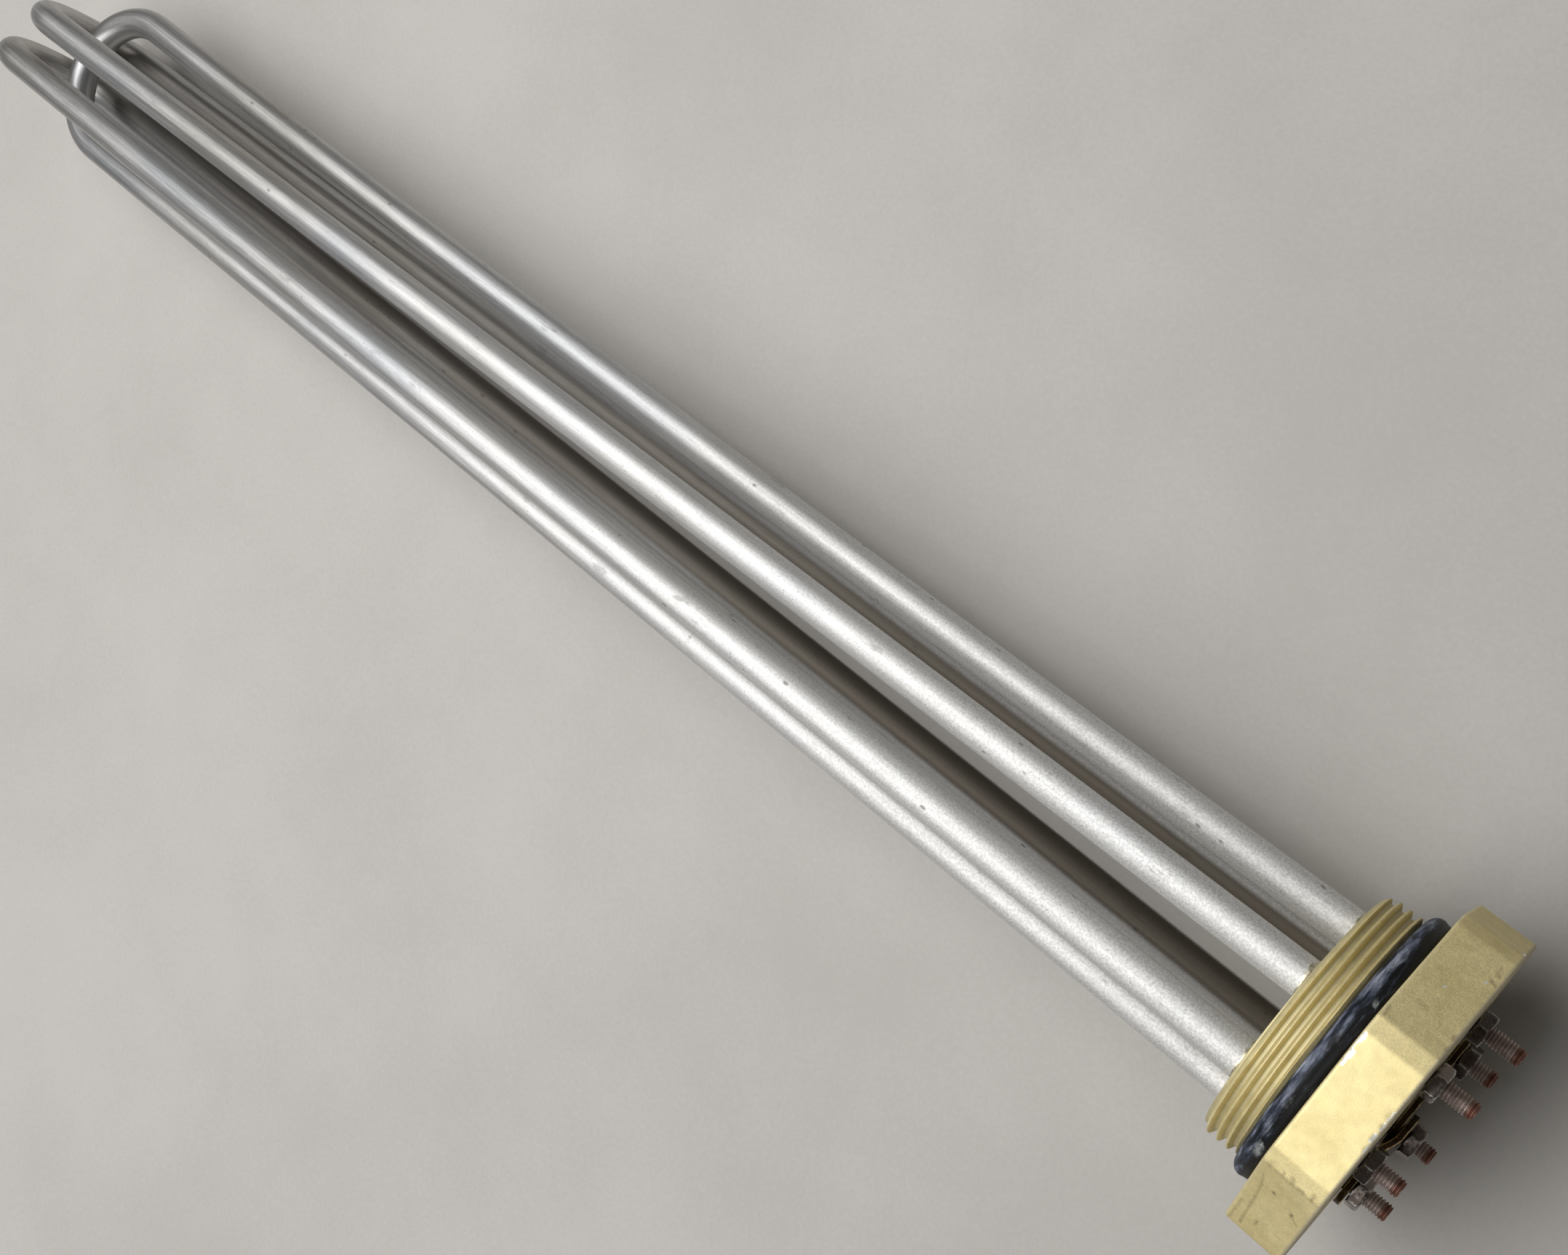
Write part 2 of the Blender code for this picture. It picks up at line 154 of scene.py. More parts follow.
def roundedOutline(corners, radius, cell, arcSteps=4):
    # (place, outward normal) pairs round a convex outline
    points = []
    count = len(corners)
    for number, corner in enumerate(corners):
        before, after = corners[number - 1], corners[(number + 1) % count]
        coming, going = (corner - before).normalized(), (after - corner).normalized()
        turn = coming.angle_signed(going) * -1
        back = radius * math.tan(turn / 2)
        out = Vector((coming.y, -coming.x))
        centre = corner - coming * back - out * radius
        for step in range(arcSteps):
            aim = Matrix.Rotation(turn * step / arcSteps, 2) @ out
            points.append((centre + aim * radius, aim))
        out = Vector((going.y, -going.x))
        start = corner + going * back
        onward = (corners[(number + 2) % count] - after).normalized()
        end = after - going * radius * math.tan(going.angle_signed(onward) * -0.5)
        steps = max(1, round((end - start).length / cell))
        for step in range(steps):
            points.append((start.lerp(end, step / steps), out))
    return points


def setMasks(form, **measures):
    for name, measure in measures.items():
        layer = form.verts.layers.float.new(name)
        for vert in form.verts:
            vert[layer] = measure(vert.co)


def marked(marks, ragged):
    # measure of the strongest mark at a place: from, to (along, side, up), width, soft edge, strength
    lines = []
    for first, last, width, soft, strength in marks:
        start, end = spot(*first) / mm, spot(*last) / mm
        lines.append((start, end - start, width, soft, strength))

    def measure(co):
        place = co / mm
        place += ragged * Vector((waver(co, 0.8, 1.0), waver(co, 0.8, 4.0), waver(co, 0.8, 9.0)))
        strongest = 0.0
        for start, run, width, soft, strength in lines:
            away = place - start
            if away.length_squared > (run.length + width + soft) ** 2:
                continue
            share = min(1.0, max(0.0, away.dot(run) / max(run.length_squared, 0.0001)))
            distance = (away - run * share).length
            strongest = max(strongest, strength * (1 - ease(distance, width, width + soft)))
        return strongest

    return measure


def newItem(name, data):
    item = bpy.data.objects.new(name, data)
    bpy.context.scene.collection.objects.link(item)
    return item


def newMesh(name, form, material):
    mesh = bpy.data.meshes.new(name)
    form.to_mesh(mesh)
    form.free()
    mesh.materials.append(material)
    return mesh


def finishPiece(name, form, material, replaced, sharpAngle, weld=0.0005):
    bmesh.ops.remove_doubles(form, verts=form.verts, dist=weld * mm)
    bmesh.ops.recalc_face_normals(form, faces=form.faces)
    mesh = newMesh(name, form, material)
    mesh.shade_smooth()
    mesh.set_sharp_from_angle(angle=math.radians(sharpAngle))
    piece = newItem(name, mesh)
    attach(piece, "root")
    if replaced:
        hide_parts(replaced)


# node helpers

def fillSockets(node, sockets):
    for key, value in sockets.items():
        if isinstance(value, bpy.types.NodeSocket):
            node.id_data.links.new(value, node.inputs[key])
        else:
            node.inputs[key].default_value = value
    return node


def addNode(tree, kind, sockets=None, **settings):
    node = tree.nodes.new(kind)
    for key, value in settings.items():
        setattr(node, key, value)
    return fillSockets(node, sockets or {})


def follow(kind, sockets, **settings):
    # a node in the tree of the sockets that feed it
    source = next(value for value in sockets.values() if isinstance(value, bpy.types.NodeSocket))
    return addNode(source.id_data, kind, sockets, **settings).outputs


def reckon(operation, first, second=0.0, third=0.0, clamp=False):
    return follow("ShaderNodeMath", {0: first, 1: second, 2: third}, operation=operation,
                  use_clamp=clamp)[0]


def times(first, second):
    return reckon("MULTIPLY", first, second)


def plus(first, second):
    return reckon("ADD", first, second)


def less(first, second):
    return reckon("SUBTRACT", first, second)


def larger(first, second):
    return reckon("MAXIMUM", first, second)


def spread(value, low, high, newLow=0.0, newHigh=1.0):
    return follow("ShaderNodeMapRange", {0: value, 1: low, 2: high, 3: newLow, 4: newHigh},
                  interpolation_type="SMOOTHSTEP")[0]


def mottle(place, scale, detail, rough):
    return follow("ShaderNodeTexNoise", {"Vector": place, "Scale": scale, "Detail": detail,
                                         "Roughness": rough})[0]


def stretch(place, *shares):
    return follow("ShaderNodeMapping", {"Vector": place, "Scale": shares})[0]


def tint(share, first, second, blend="MIX"):
    return follow("ShaderNodeMix", {0: share, 6: first, 7: second}, data_type="RGBA",
                  blend_type=blend)[2]


def wash(colour, mask, share, other):
    # another colour over this one, by a share of a mask
    return tint(times(mask, share), colour, other)


def bump(height, distance, strength):
    return follow("ShaderNodeBump", {"Height": height, "Distance": distance, "Strength": strength})[0]


def maskOf(tree, name):
    return addNode(tree, "ShaderNodeAttribute", attribute_name=name).outputs["Fac"]


def dress(shader, colour, rough, normal, metallic=0.0):
    fillSockets(shader, {"Base Color": colour, "Roughness": rough, "Normal": normal,
                         "Metallic": metallic})


def newMaterial(name):
    material = bpy.data.materials.new(name)
    material.use_nodes = True
    tree = material.node_tree
    shader = tree.nodes["Principled BSDF"]
    return material, tree, shader


def placeInMm(tree):
    place = addNode(tree, "ShaderNodeTexCoord").outputs["Object"]
    return follow("ShaderNodeVectorMath", {0: place, "Scale": 1000.0}, operation="SCALE")[0]


def newGroup(name, inputs, outputs):
    group = bpy.data.node_groups.new(name, "ShaderNodeTree")
    for way, labels in (("INPUT", inputs), ("OUTPUT", outputs)):
        for label in labels:
            kind = "NodeSocketVector" if label == "Place" else "NodeSocketFloat"
            group.interface.new_socket(label, in_out=way, socket_type=kind)
    return group, group.nodes.new("NodeGroupInput").outputs, group.nodes.new("NodeGroupOutput")


def useGroup(group, place, scale, **more):
    node = addNode(place.id_data, "ShaderNodeGroup", node_tree=group)
    return fillSockets(node, {"Place": place, "Scale": scale, **more}).outputs


# effects that several finishes share

def makeFineGrain():
    # blasted or cast skin: a value for colour and a height
    group, given, made = newGroup("fineGrain", ["Place", "Scale"], ["Value", "Height"])
    coarse = mottle(given["Place"], given["Scale"], 3.0, 0.6)
    fine = mottle(given["Place"], times(given["Scale"], 3.1), 2.0, 0.6)
    both = reckon("MULTIPLY_ADD", fine, 0.4, times(coarse, 0.6))
    fillSockets(made, {"Value": spread(both, 0.32, 0.68), "Height": both})
    return group


def makeStain():
    # patches and small spots where dirt and oxide sit
    group, given, made = newGroup("stain", ["Place", "Scale", "Amount"], ["Patch", "Spot"])
    patch = mottle(given["Place"], given["Scale"], 4.0, 0.62)
    over = less(patch, less(0.78, times(given["Amount"], 0.3)))
    dots = follow("ShaderNodeTexVoronoi",
                  {"Vector": given["Place"], "Scale": times(given["Scale"], 7.0)}, feature="F1")
    chance = follow("ShaderNodeSeparateColor", {0: dots["Color"]})[0]
    near = less(times(given["Amount"], 0.28), dots["Distance"])
    spots = times(spread(near, 0.0, 0.08), spread(chance, 0.72, 0.8))
    fillSockets(made, {"Patch": spread(over, -0.02, 0.12), "Spot": spots})
    return group


def makeScratches():
    # thin lines along one direction of the place it gets, in patches
    group, given, made = newGroup("scratches", ["Place", "Scale", "Amount"], ["Line"])
    lines = mottle(given["Place"], given["Scale"], 1.0, 0.4)
    middle = reckon("ABSOLUTE", less(lines, 0.5))
    line = spread(less(times(given["Amount"], 0.012), middle), 0.0, 0.008)
    wide = mottle(given["Place"], times(given["Scale"], 0.37), 2.0, 0.6)
    fillSockets(made, {"Line": times(line, spread(wide, 0.5, 0.62))})
    return group


def makeEdgeRubGlint():
    # bare metal where an edge is rubbed, broken up by noise; on the nuts and link plates the same mask also
    # paints highlights along the edges
    group, given, made = newGroup("edgeRubGlint", ["Edge", "Place", "Scale"], ["Mask"])
    broken = mottle(given["Place"], given["Scale"], 4.0, 0.65)
    raised = plus(times(given["Edge"], 0.62), broken)
    fillSockets(made, {"Mask": spread(raised, 0.86, 1.08)})
    return group


grainGroup = makeFineGrain()
stainGroup = makeStain()
scratchGroup = makeScratches()
rubGlintGroup = makeEdgeRubGlint()
print("shared effects made")


def makePlain(name, look):
    # grain between two colours with stains over it
    material, tree, shader = newMaterial(name)
    place = placeInMm(tree)
    grain = useGroup(grainGroup, place, look["grain"])
    stain = useGroup(stainGroup, place, 0.35, Amount=look["patches"])
    colour = tint(grain["Value"], look["dark"], look["light"])
    colour = wash(colour, stain["Patch"], look["stain"], look["dirt"])
    dress(shader, colour, spread(grain["Value"], 0, 1, *look["rough"]),
          bump(grain["Height"], *look["bump"]), look["metallic"])
    return material


# brass plug

brassLook = {
    "colour": (0.730, 0.620, 0.315, 1), "pale": (0.810, 0.700, 0.375, 1), "dirt": (0.150, 0.110, 0.055, 1),
    # groove: the darker, duller colour painted in the thread roots as shade, with a little dirt
    "groove": (0.320, 0.305, 0.225, 1), "rubbedGlint": (0.98, 0.96, 0.86, 1), "edge": (0.52, 0.48, 0.40, 1),
}
# marks: from, to (along, side, up), width, soft edge, strength
# bright marks: chips and rubbed spots painted near white, bare metal with painted highlights on it
brightMarks = [
    ((12.25, -12.9, 37.4), (12.25, -11.6, 37.4), 0.24, 0.44, 1.0),
    ((12.50, -11.6, 37.4), (12.50, -6.2, 37.4), 0.05, 0.42, 0.62),
    ((12.15, -9.1, 37.4), (12.15, -8.1, 37.4), 0.32, 0.44, 1.0),
    ((12.25, -7.6, 37.4), (12.25, -6.2, 37.4), 0.14, 0.42, 0.9),
    ((0.62, -5.4, 37.4), (0.66, -3.4, 37.4), 0.03, 0.46, 0.66),
    ((0.70, -2.7, 37.4), (0.62, -1.3, 37.4), 0.06, 0.46, 0.78),
    ((0.68, 0.0, 37.4), (0.74, 1.4, 37.4), 0.15, 0.46, 0.95),
    ((0.50, 2.4, 37.4), (0.45, 4.0, 37.4), 0.06, 0.42, 0.7),
    ((2.60, -30.95, 22.1), (2.75, -30.8, 22.2), 0.12, 0.47, 0.75),
    ((7.40, -26.4, 26.6), (7.38, -26.6, 26.4), 0.05, 0.42, 0.8),
    ((23.70, -3.3, 29.5), (23.85, -2.5, 29.6), 0.16, 0.42, 0.9),
    ((25.86, 0.1, 29.6), (25.8, 0.4, 29.6), 0.05, 0.42, 0.8),
    ((12.3, 34.8, -19.0), (12.4, 33.2, -20.5), 0.17, 0.42, 0.9),
    ((0.6, -37.4, 9.0), (0.6, -37.4, 11.4), 0.12, 0.42, 0.9),
    ((0.5, -12.0, -37.4), (0.6, -9.4, -37.4), 0.16, 0.42, 0.9),
]
darkMarks = [
    ((1.38, -33.0, 20.0), (1.38, -32.7, 20.3), 0.16, 0.30, 0.60),
    ((2.05, -34.1, 18.9), (1.95, -32.6, 20.4), 0.14, 0.35, 0.32),
    ((2.10, -31.6, 21.5), (1.80, -31.4, 21.6), 0.22, 0.35, 0.50),
    ((1.09, -31.5, 21.5), (1.09, -31.2, 21.8), 0.14, 0.28, 0.42),
    ((8.90, -22.2, 30.8), (7.30, -22.2, 30.8), 0.30, 0.55, 0.20),
    ((0.64, -19.3, 33.7), (0.64, -18.9, 34.1), 0.20, 0.35, 0.45),
    ((0.82, -21.4, 31.6), (0.82, -20.8, 32.2), 0.16, 0.30, 0.48),
    ((12.15, -19.2, 33.8), (11.95, -17.5, 35.5), 0.12, 0.25, 0.38),
    ((11.1, 16.5, 36.2), (11.15, 17.8, 35.6), 0.25, 0.55, 0.26),
    ((8.45, 16.4, 36.2), (8.2, 17.4, 35.8), 0.16, 0.35, 0.36),
    ((6.7, 16.2, 36.3), (6.4, 17.2, 35.9), 0.32, 0.45, 0.36),
    ((4.7, 17.2, 35.9), (3.9, 17.0, 36.0), 0.24, 0.32, 0.62),
    ((2.15, 15.9, 36.4), (2.1, 17.5, 35.8), 0.20, 0.35, 0.42),
    ((9.9, 17.4, 35.8), (3.0, 17.7, 35.7), 0.20, 0.60, 0.20),
    ((7.85, 22.1, 30.9), (7.75, 22.4, 30.6), 0.20, 0.35, 0.65),
    ((3.25, 23.5, 29.5), (3.15, 24.1, 29.0), 0.16, 0.35, 0.65),
    ((2.6, 24.4, 28.6), (1.6, 25.0, 28.0), 0.10, 0.40, 0.35),
    ((7.45, 31.4, 21.6), (7.35, 32.4, 20.6), 0.14, 0.30, 0.45),
    ((11.2, 19.9, 33.1), (10.5, 22.4, 30.6), 0.10, 0.32, 0.28),
    ((10.5, 22.4, 30.6), (10.1, 25.9, 27.1), 0.10, 0.32, 0.34),
    ((10.15, 25.9, 27.1), (9.85, 34.3, 18.7), 0.12, 0.34, 0.38),
    ((9.80, 34.0, 19.0), (9.80, 34.8, 18.2), 0.22, 0.36, 0.50),
    ((11.75, 29.3, 23.7), (11.95, 36.3, 16.7), 0.12, 0.34, 0.34),
    ((6.0, 37.4, -6.0), (6.4, 37.4, -5.0), 0.25, 0.4, 0.55),
    ((3.4, -25.0, -28.0), (4.6, -24.2, -28.8), 0.2, 0.4, 0.5),
    ((9.0, 5.0, -37.4), (8.0, 8.6, -37.4), 0.07, 0.2, 0.5),
]


def makeBrass():
    material, tree, shader = newMaterial("brassPlug")
    place = placeInMm(tree)
    grain = useGroup(grainGroup, place, 2.4)
    stain = useGroup(stainGroup, place, 0.13, Amount=0.42)
    lines = useGroup(scratchGroup, stretch(place, 1.0, 0.22, 0.22), 0.5, Amount=0.35)
    edge, groove, cast = (maskOf(tree, name) for name in ("edgeMask", "grooveMask", "castMask"))
    broad = spread(mottle(place, 0.10, 3.0, 0.6), 0.3, 0.7)
    soft = mottle(place, 0.42, 2.0, 0.5)
    colour = tint(broad, brassLook["colour"], brassLook["pale"])
    shade = times(spread(grain["Value"], 0.0, 1.0, 0.90, 1.06), spread(soft, 0.3, 0.7, 0.94, 1.04))
    colour = tint(1.0, colour, shade, "MULTIPLY")
    # painted shade, with a little dirt: the thread roots turn a darker, duller colour
    rootShade = times(spread(groove, 0.20, 0.90), 0.46)
    colour = tint(rootShade, colour, brassLook["groove"])
    dirt = times(reckon("ADD", stain["Patch"], stain["Spot"], clamp=True), 0.14)
    dark, bright = maskOf(tree, "darkMask"), maskOf(tree, "brightMask")
    broken = spread(mottle(place, 0.9, 3.0, 0.6), 0.30, 0.62, 0.60, 1.0)
    dirt = larger(dirt, times(dark, broken))
    colour = tint(dirt, colour, brassLook["dirt"])
    colour = wash(colour, lines["Line"], 0.10, brassLook["rubbedGlint"])
    colour = wash(colour, edge, 0.65, brassLook["edge"])
    # chips and rubbed spots painted near white: bare metal with painted highlights
    rim = times(mottle(place, 1.5, 2.0, 0.5), 0.5)
    bright = spread(plus(bright, rim), 0.66, 0.82)
    colour = tint(bright, colour, brassLook["rubbedGlint"])
    rough = spread(grain["Value"], 0.0, 1.0, 0.56, 0.68)
    rough = less(rough, times(bright, 0.20))
    height = times(grain["Height"], spread(cast, 0.0, 1.0, 0.35, 1.0))
    height = less(height, times(dark, 0.5))
    dress(shader, colour, rough, bump(height, 0.00012, 0.38), 0.65)
    return material


head = {
    "acrossFlats": 75.0, "sides": 8, "thickness": 12.9, "cornerCut": 2.2, "rounding": 2.2, "bevel": 0.6,
    "cell": 0.27, "castFrom": 36.3,     # the cast sides lie farther out than this radius
    # dents in the edges: along, side, up, size, depth
    "dents": [(12.7, -12.3, 37.5, 0.9, 0.28), (12.7, -8.6, 37.5, 0.8, 0.26), (12.7, -6.8, 37.5, 0.6, 0.2),
              (0.2, -4.2, 37.5, 1.1, 0.14), (0.2, -1.8, 37.5, 0.9, 0.16), (0.2, 0.8, 37.5, 0.9, 0.2),
              (0.0, 3.2, 37.5, 1.0, 0.14), (12.8, 34.0, -19.8, 1.0, 0.3), (0.1, -37.5, 10.2, 1.1, 0.25),
              (0.1, -10.7, -37.5, 1.2, 0.25)],
}
neckRadius = 28.0
neckLength = 4.6
threadForm = {
    "crest": 29.805, "pitch": 25.4 / 11, "depthShare": 0.61, "length": 9.1, "endRadius": 28.40,
    "firstCrest": 0.45, "around": 288, "rowsPerTurn": 20,
}
bores = {"seat": 5.5, "seatDepth": 3.3, "bore": 4.55, "steps": 48}
tubeCircle = 20.0


def tubeCentre(number):
    angle = tau * number / 6
    return tubeCircle * math.cos(angle), tubeCircle * math.sin(angle)


def threadRadius(along, angle):
    # rounded pipe thread, right-handed, bevelled at both ends
    form, start = threadForm, head["thickness"] + neckLength
    phase = ((along - start - form["firstCrest"]) / form["pitch"] - angle / tau + 0.5) % 1.0
    slope = abs(phase - 0.5) * 2                    # 0 at the crest, 1 in the root
    soft = 0.35 * ease(slope, 0.12, 0.74) + 0.65 * min(1.0, max(0.0, (slope - 0.14) / 0.58))
    depth = form["pitch"] * form["depthShare"]
    bevel = form["endRadius"] + min(along - start, start + form["length"] - along)
    return min(form["crest"] - depth * soft, bevel)


def buildPlug():
    form = bmesh.new()
    outline = roundedOutline(regularCorners(head["sides"], head["acrossFlats"], cut=head["cornerCut"]),
                             head["rounding"], head["cell"])
    thick, bevel = head["thickness"], head["bevel"]
    arc = [(bevel * (1 - math.cos(t)), bevel * (1 - math.sin(t)))
           for t in (math.radians(a) for a in (0, 25, 45, 65, 90))]
    flatSteps = round((thick - 2 * bevel) / head["cell"])
    levels = arc + [(bevel + (thick - 2 * bevel) * step / flatSteps, 0.0) for step in range(1, flatSteps)]
    levels += [(thick - along, inset) for along, inset in reversed(arc)]
    dents = [(spot(*dent[:3]), dent[3] * mm, dent[4]) for dent in head["dents"]]
    rows = []
    for along, inset in levels:
        row = []
        for place, out in outline:
            at = spot(along, *place)
            sunk = 0.015 + 0.015 * waver(at, 9.0)
            edge = ease(min(along, thick - along), 1.2, 0.3)
            sunk += edge * max(0.0, 0.05 * waver(at, 2.6, 5.0) + 0.02 * waver(at, 1.0, 8.0))
            for centre, size, depth in dents:
                away = (at - centre).length / size
                if away < 1.6:
                    sunk += depth * (1 - ease(away + 0.2 * waver(at, 0.8, 2.0), 0.3, 1.3))
            row.append(spot(along, *(place - out * (inset + sunk))))
        rows.append(row)
    sideRows = addSkin(form, rows)
    start, size = thick + neckLength, threadForm
    turned = [circle(along, neckRadius, size["around"], seam=1)
              for along in (thick, thick + 0.3, start - 0.3, start)]
    turned += climbingRows(size, start, start + size["length"], threadRadius)
    turnedRows = addSkin(form, turned, wrap=False)
    mouths, ends = [], []
    for number in range(6):
        centre = tubeCentre(number)
        profile = [(0, bores["seat"]), (0.15, bores["seat"] - 0.1),
                   (bores["seatDepth"], bores["seat"] - 0.1), (bores["seatDepth"], bores["bore"]),
                   (plugFront, bores["bore"])]
        hole = addSkin(form, [circle(*ring, bores["steps"], centre) for ring in profile])
        mouths.append(hole[0])
        ends.append(hole[-1])
    fillBetween(form, [sideRows[0]] + mouths)
    fillBetween(form, [sideRows[-1], turnedRows[0][:-1]])
    fillBetween(form, [turnedRows[-1][:-1]] + ends)
    bmesh.ops.remove_doubles(form, verts=form.verts, dist=0.0012 * mm)
    crest, depth = size["crest"], size["pitch"] * size["depthShare"]

    def groove(co):
        along, away = outward(co)
        return min(1.0, max(0.0, (crest - away) / depth)) if along >= thick + 0.05 else 0.0

    def castSkin(co):
        along, away = outward(co)
        return 1.0 if along < thick + 0.01 and away > head["castFrom"] else 0.0

    def edges(co):
        along, away = outward(co)
        if along > thick + 0.01:
            return 0.14 * ease(away, crest - 0.20, crest - 0.02)
        if away < head["castFrom"]:
            return 0.0
        return max(ease(along, 0.8, 0.4), 0.25 * ease(thick - along, 0.8, 0.5))

    setMasks(form, grooveMask=groove, castMask=castSkin, edgeMask=edges,
             darkMask=marked(darkMarks, 0.22), brightMask=marked(brightMarks, 0.18))
    finishPiece("brassPlug", form, makeBrass(), "screw_plug", 40)


buildPlug()
print("plug made")


# rubber ring in the neck

ringLook = {"black": (0.003, 0.004, 0.007, 1), "colour": (0.022, 0.029, 0.046, 1),
            "wornAndLit": (0.135, 0.148, 0.195, 1), "dust": (0.46, 0.49, 0.54, 1)}
ringForm = {
    "steps": 320,
    "profile": [(13.2, 28.3), (13.2, 29.4), (13.22, 30.3), (13.3, 30.9), (13.45, 31.35), (13.65, 31.62),
                (13.9, 31.78), (14.2, 31.86), (14.5, 31.88), (14.8, 31.93), (15.1, 32.03), (15.4, 32.12),
                (15.7, 32.15), (16.0, 32.13), (16.35, 32.04), (16.7, 31.90), (17.05, 31.66), (17.35, 31.35),
                (17.6, 31.0), (17.8, 30.6), (17.88, 30.25), (17.8, 30.02), (17.6, 29.95), (17.44, 29.8),
                (17.44, 28.3)],
    # whitish spots and scuffs: from, to (along, side, up), width, soft edge, strength
    "scuffs": [((14.5, -17.0, 27.2), (14.6, -16.4, 27.6), 0.25, 0.35, 1.0),
               ((15.6, -3.9, 31.9), (15.6, 8.3, 31.0), 0.20, 0.5, 0.55),
               ((15.2, 18.0, 26.6), (15.0, 20.3, 24.8), 0.30, 0.6, 0.75),
               ((14.4, 19.0, 25.9), (14.3, 21.5, 23.9), 0.20, 0.5, 0.65),
               ((16.6, -22.7, 22.7), (16.7, -31.8, 3.9), 0.30, 0.8, 0.60),
               ((16.0, -9.0, 30.9), (16.1, -5.0, 31.8), 0.20, 0.5, 0.45)],
}


def makeRubber():
    material, tree, shader = newMaterial("blackRubber")
    place = addNode(tree, "ShaderNodeAttribute", attribute_name="ringPlace").outputs["Vector"]
    grain = useGroup(grainGroup, place, 1.6)
    patch = mottle(stretch(place, 1.0, 0.24, 1.0), 0.62, 4.0, 0.62)
    streak = mottle(stretch(place, 1.0, 0.10, 1.0), 1.15, 3.0, 0.6)
    wide = mottle(stretch(place, 0.6, 0.35, 0.6), 0.16, 2.0, 0.5)
    # painted light: the half of the ring that faces the tubes is pushed towards the paler worn colour, as
    # if lit, while the half by the head stays dark
    side = spread(follow("ShaderNodeSeparateXYZ", {0: place})[0], 14.2, 16.4)
    amount = plus(times(patch, 0.6), times(streak, 0.4))
    amount = plus(amount, times(side, 0.13))
    amount = plus(amount, times(wide, 0.16))
    colour = tint(spread(amount, 0.60, 0.70), ringLook["black"], ringLook["colour"])
    colour = tint(spread(amount, 0.67, 0.79), colour, ringLook["wornAndLit"])
    scuff = times(maskOf(tree, "scuffMask"), spread(patch, 0.38, 0.60))
    dusty = larger(spread(amount, 0.76, 0.88), scuff)
    dusty = times(dusty, spread(grain["Value"], 0.0, 1.0, 0.45, 1.0))
    colour = wash(colour, dusty, 0.75, ringLook["dust"])
    shader.inputs["Specular IOR Level"].default_value = 0.20
    height = plus(times(grain["Height"], 0.5), amount)
    dress(shader, colour, spread(amount, 0.60, 0.85, 0.48, 0.75), bump(height, 0.00022, 0.6))
    return material


def buildRing():
    form = bmesh.new()

    def uneven(along, angle):
        at = Vector((along * 0.35, 9 * math.cos(angle), 9 * math.sin(angle)))
        return -0.05 + 0.05 * noise.noise(at)

    angles = [tau * step / ringForm["steps"] for step in range(ringForm["steps"])]
    addSkin(form, [[onRound(along, radius + uneven(along, angle), angle) for angle in angles]
                   for along, radius in ringForm["profile"]], closed=True)
    layer = form.verts.layers.float_vector.new("ringPlace")     # along, way round and radius
    for vert in form.verts:
        along, side, up = inMm(vert.co)
        vert[layer] = Vector((along, math.atan2(-up, -side) * 32.0, math.hypot(side, up)))
    setMasks(form, scuffMask=marked(ringForm["scuffs"], 0.4))
    finishPiece("rubberRing", form, makeRubber(), "seal_ring", 60)


buildRing()
print("ring made")


# heating tubes

tubeForm = {
    "radius": 4.25, "wall": 0.8, "start": 3.3, "around": 40, "legSteps": 56, "bendSteps": 44,
    "hairpins": {
        "middle": {"places": (0, 3), "reach": 472.3, "sprung": (5.4, -0.7), "bow": 1.5},
        "left": {"places": (1, 5), "reach": 493.0, "sprung": (5.3, -0.3), "bow": 0.0},
        "right": {"places": (2, 4), "reach": 483.7, "sprung": (9.6, 2.1), "bow": 0.0},
    },
}
steelLook = {
    "colour": (0.47, 0.465, 0.46, 1), "light": (0.595, 0.59, 0.577, 1), "warm": (0.45, 0.430, 0.395, 1),
    "cool": (0.41, 0.425, 0.45, 1), "pit": (0.10, 0.09, 0.08, 1), "frost": (0.745, 0.74, 0.723, 1),
    # scale: the dark colour of the painted shade inside the bundle
    "scale": (0.105, 0.088, 0.066, 1),
}


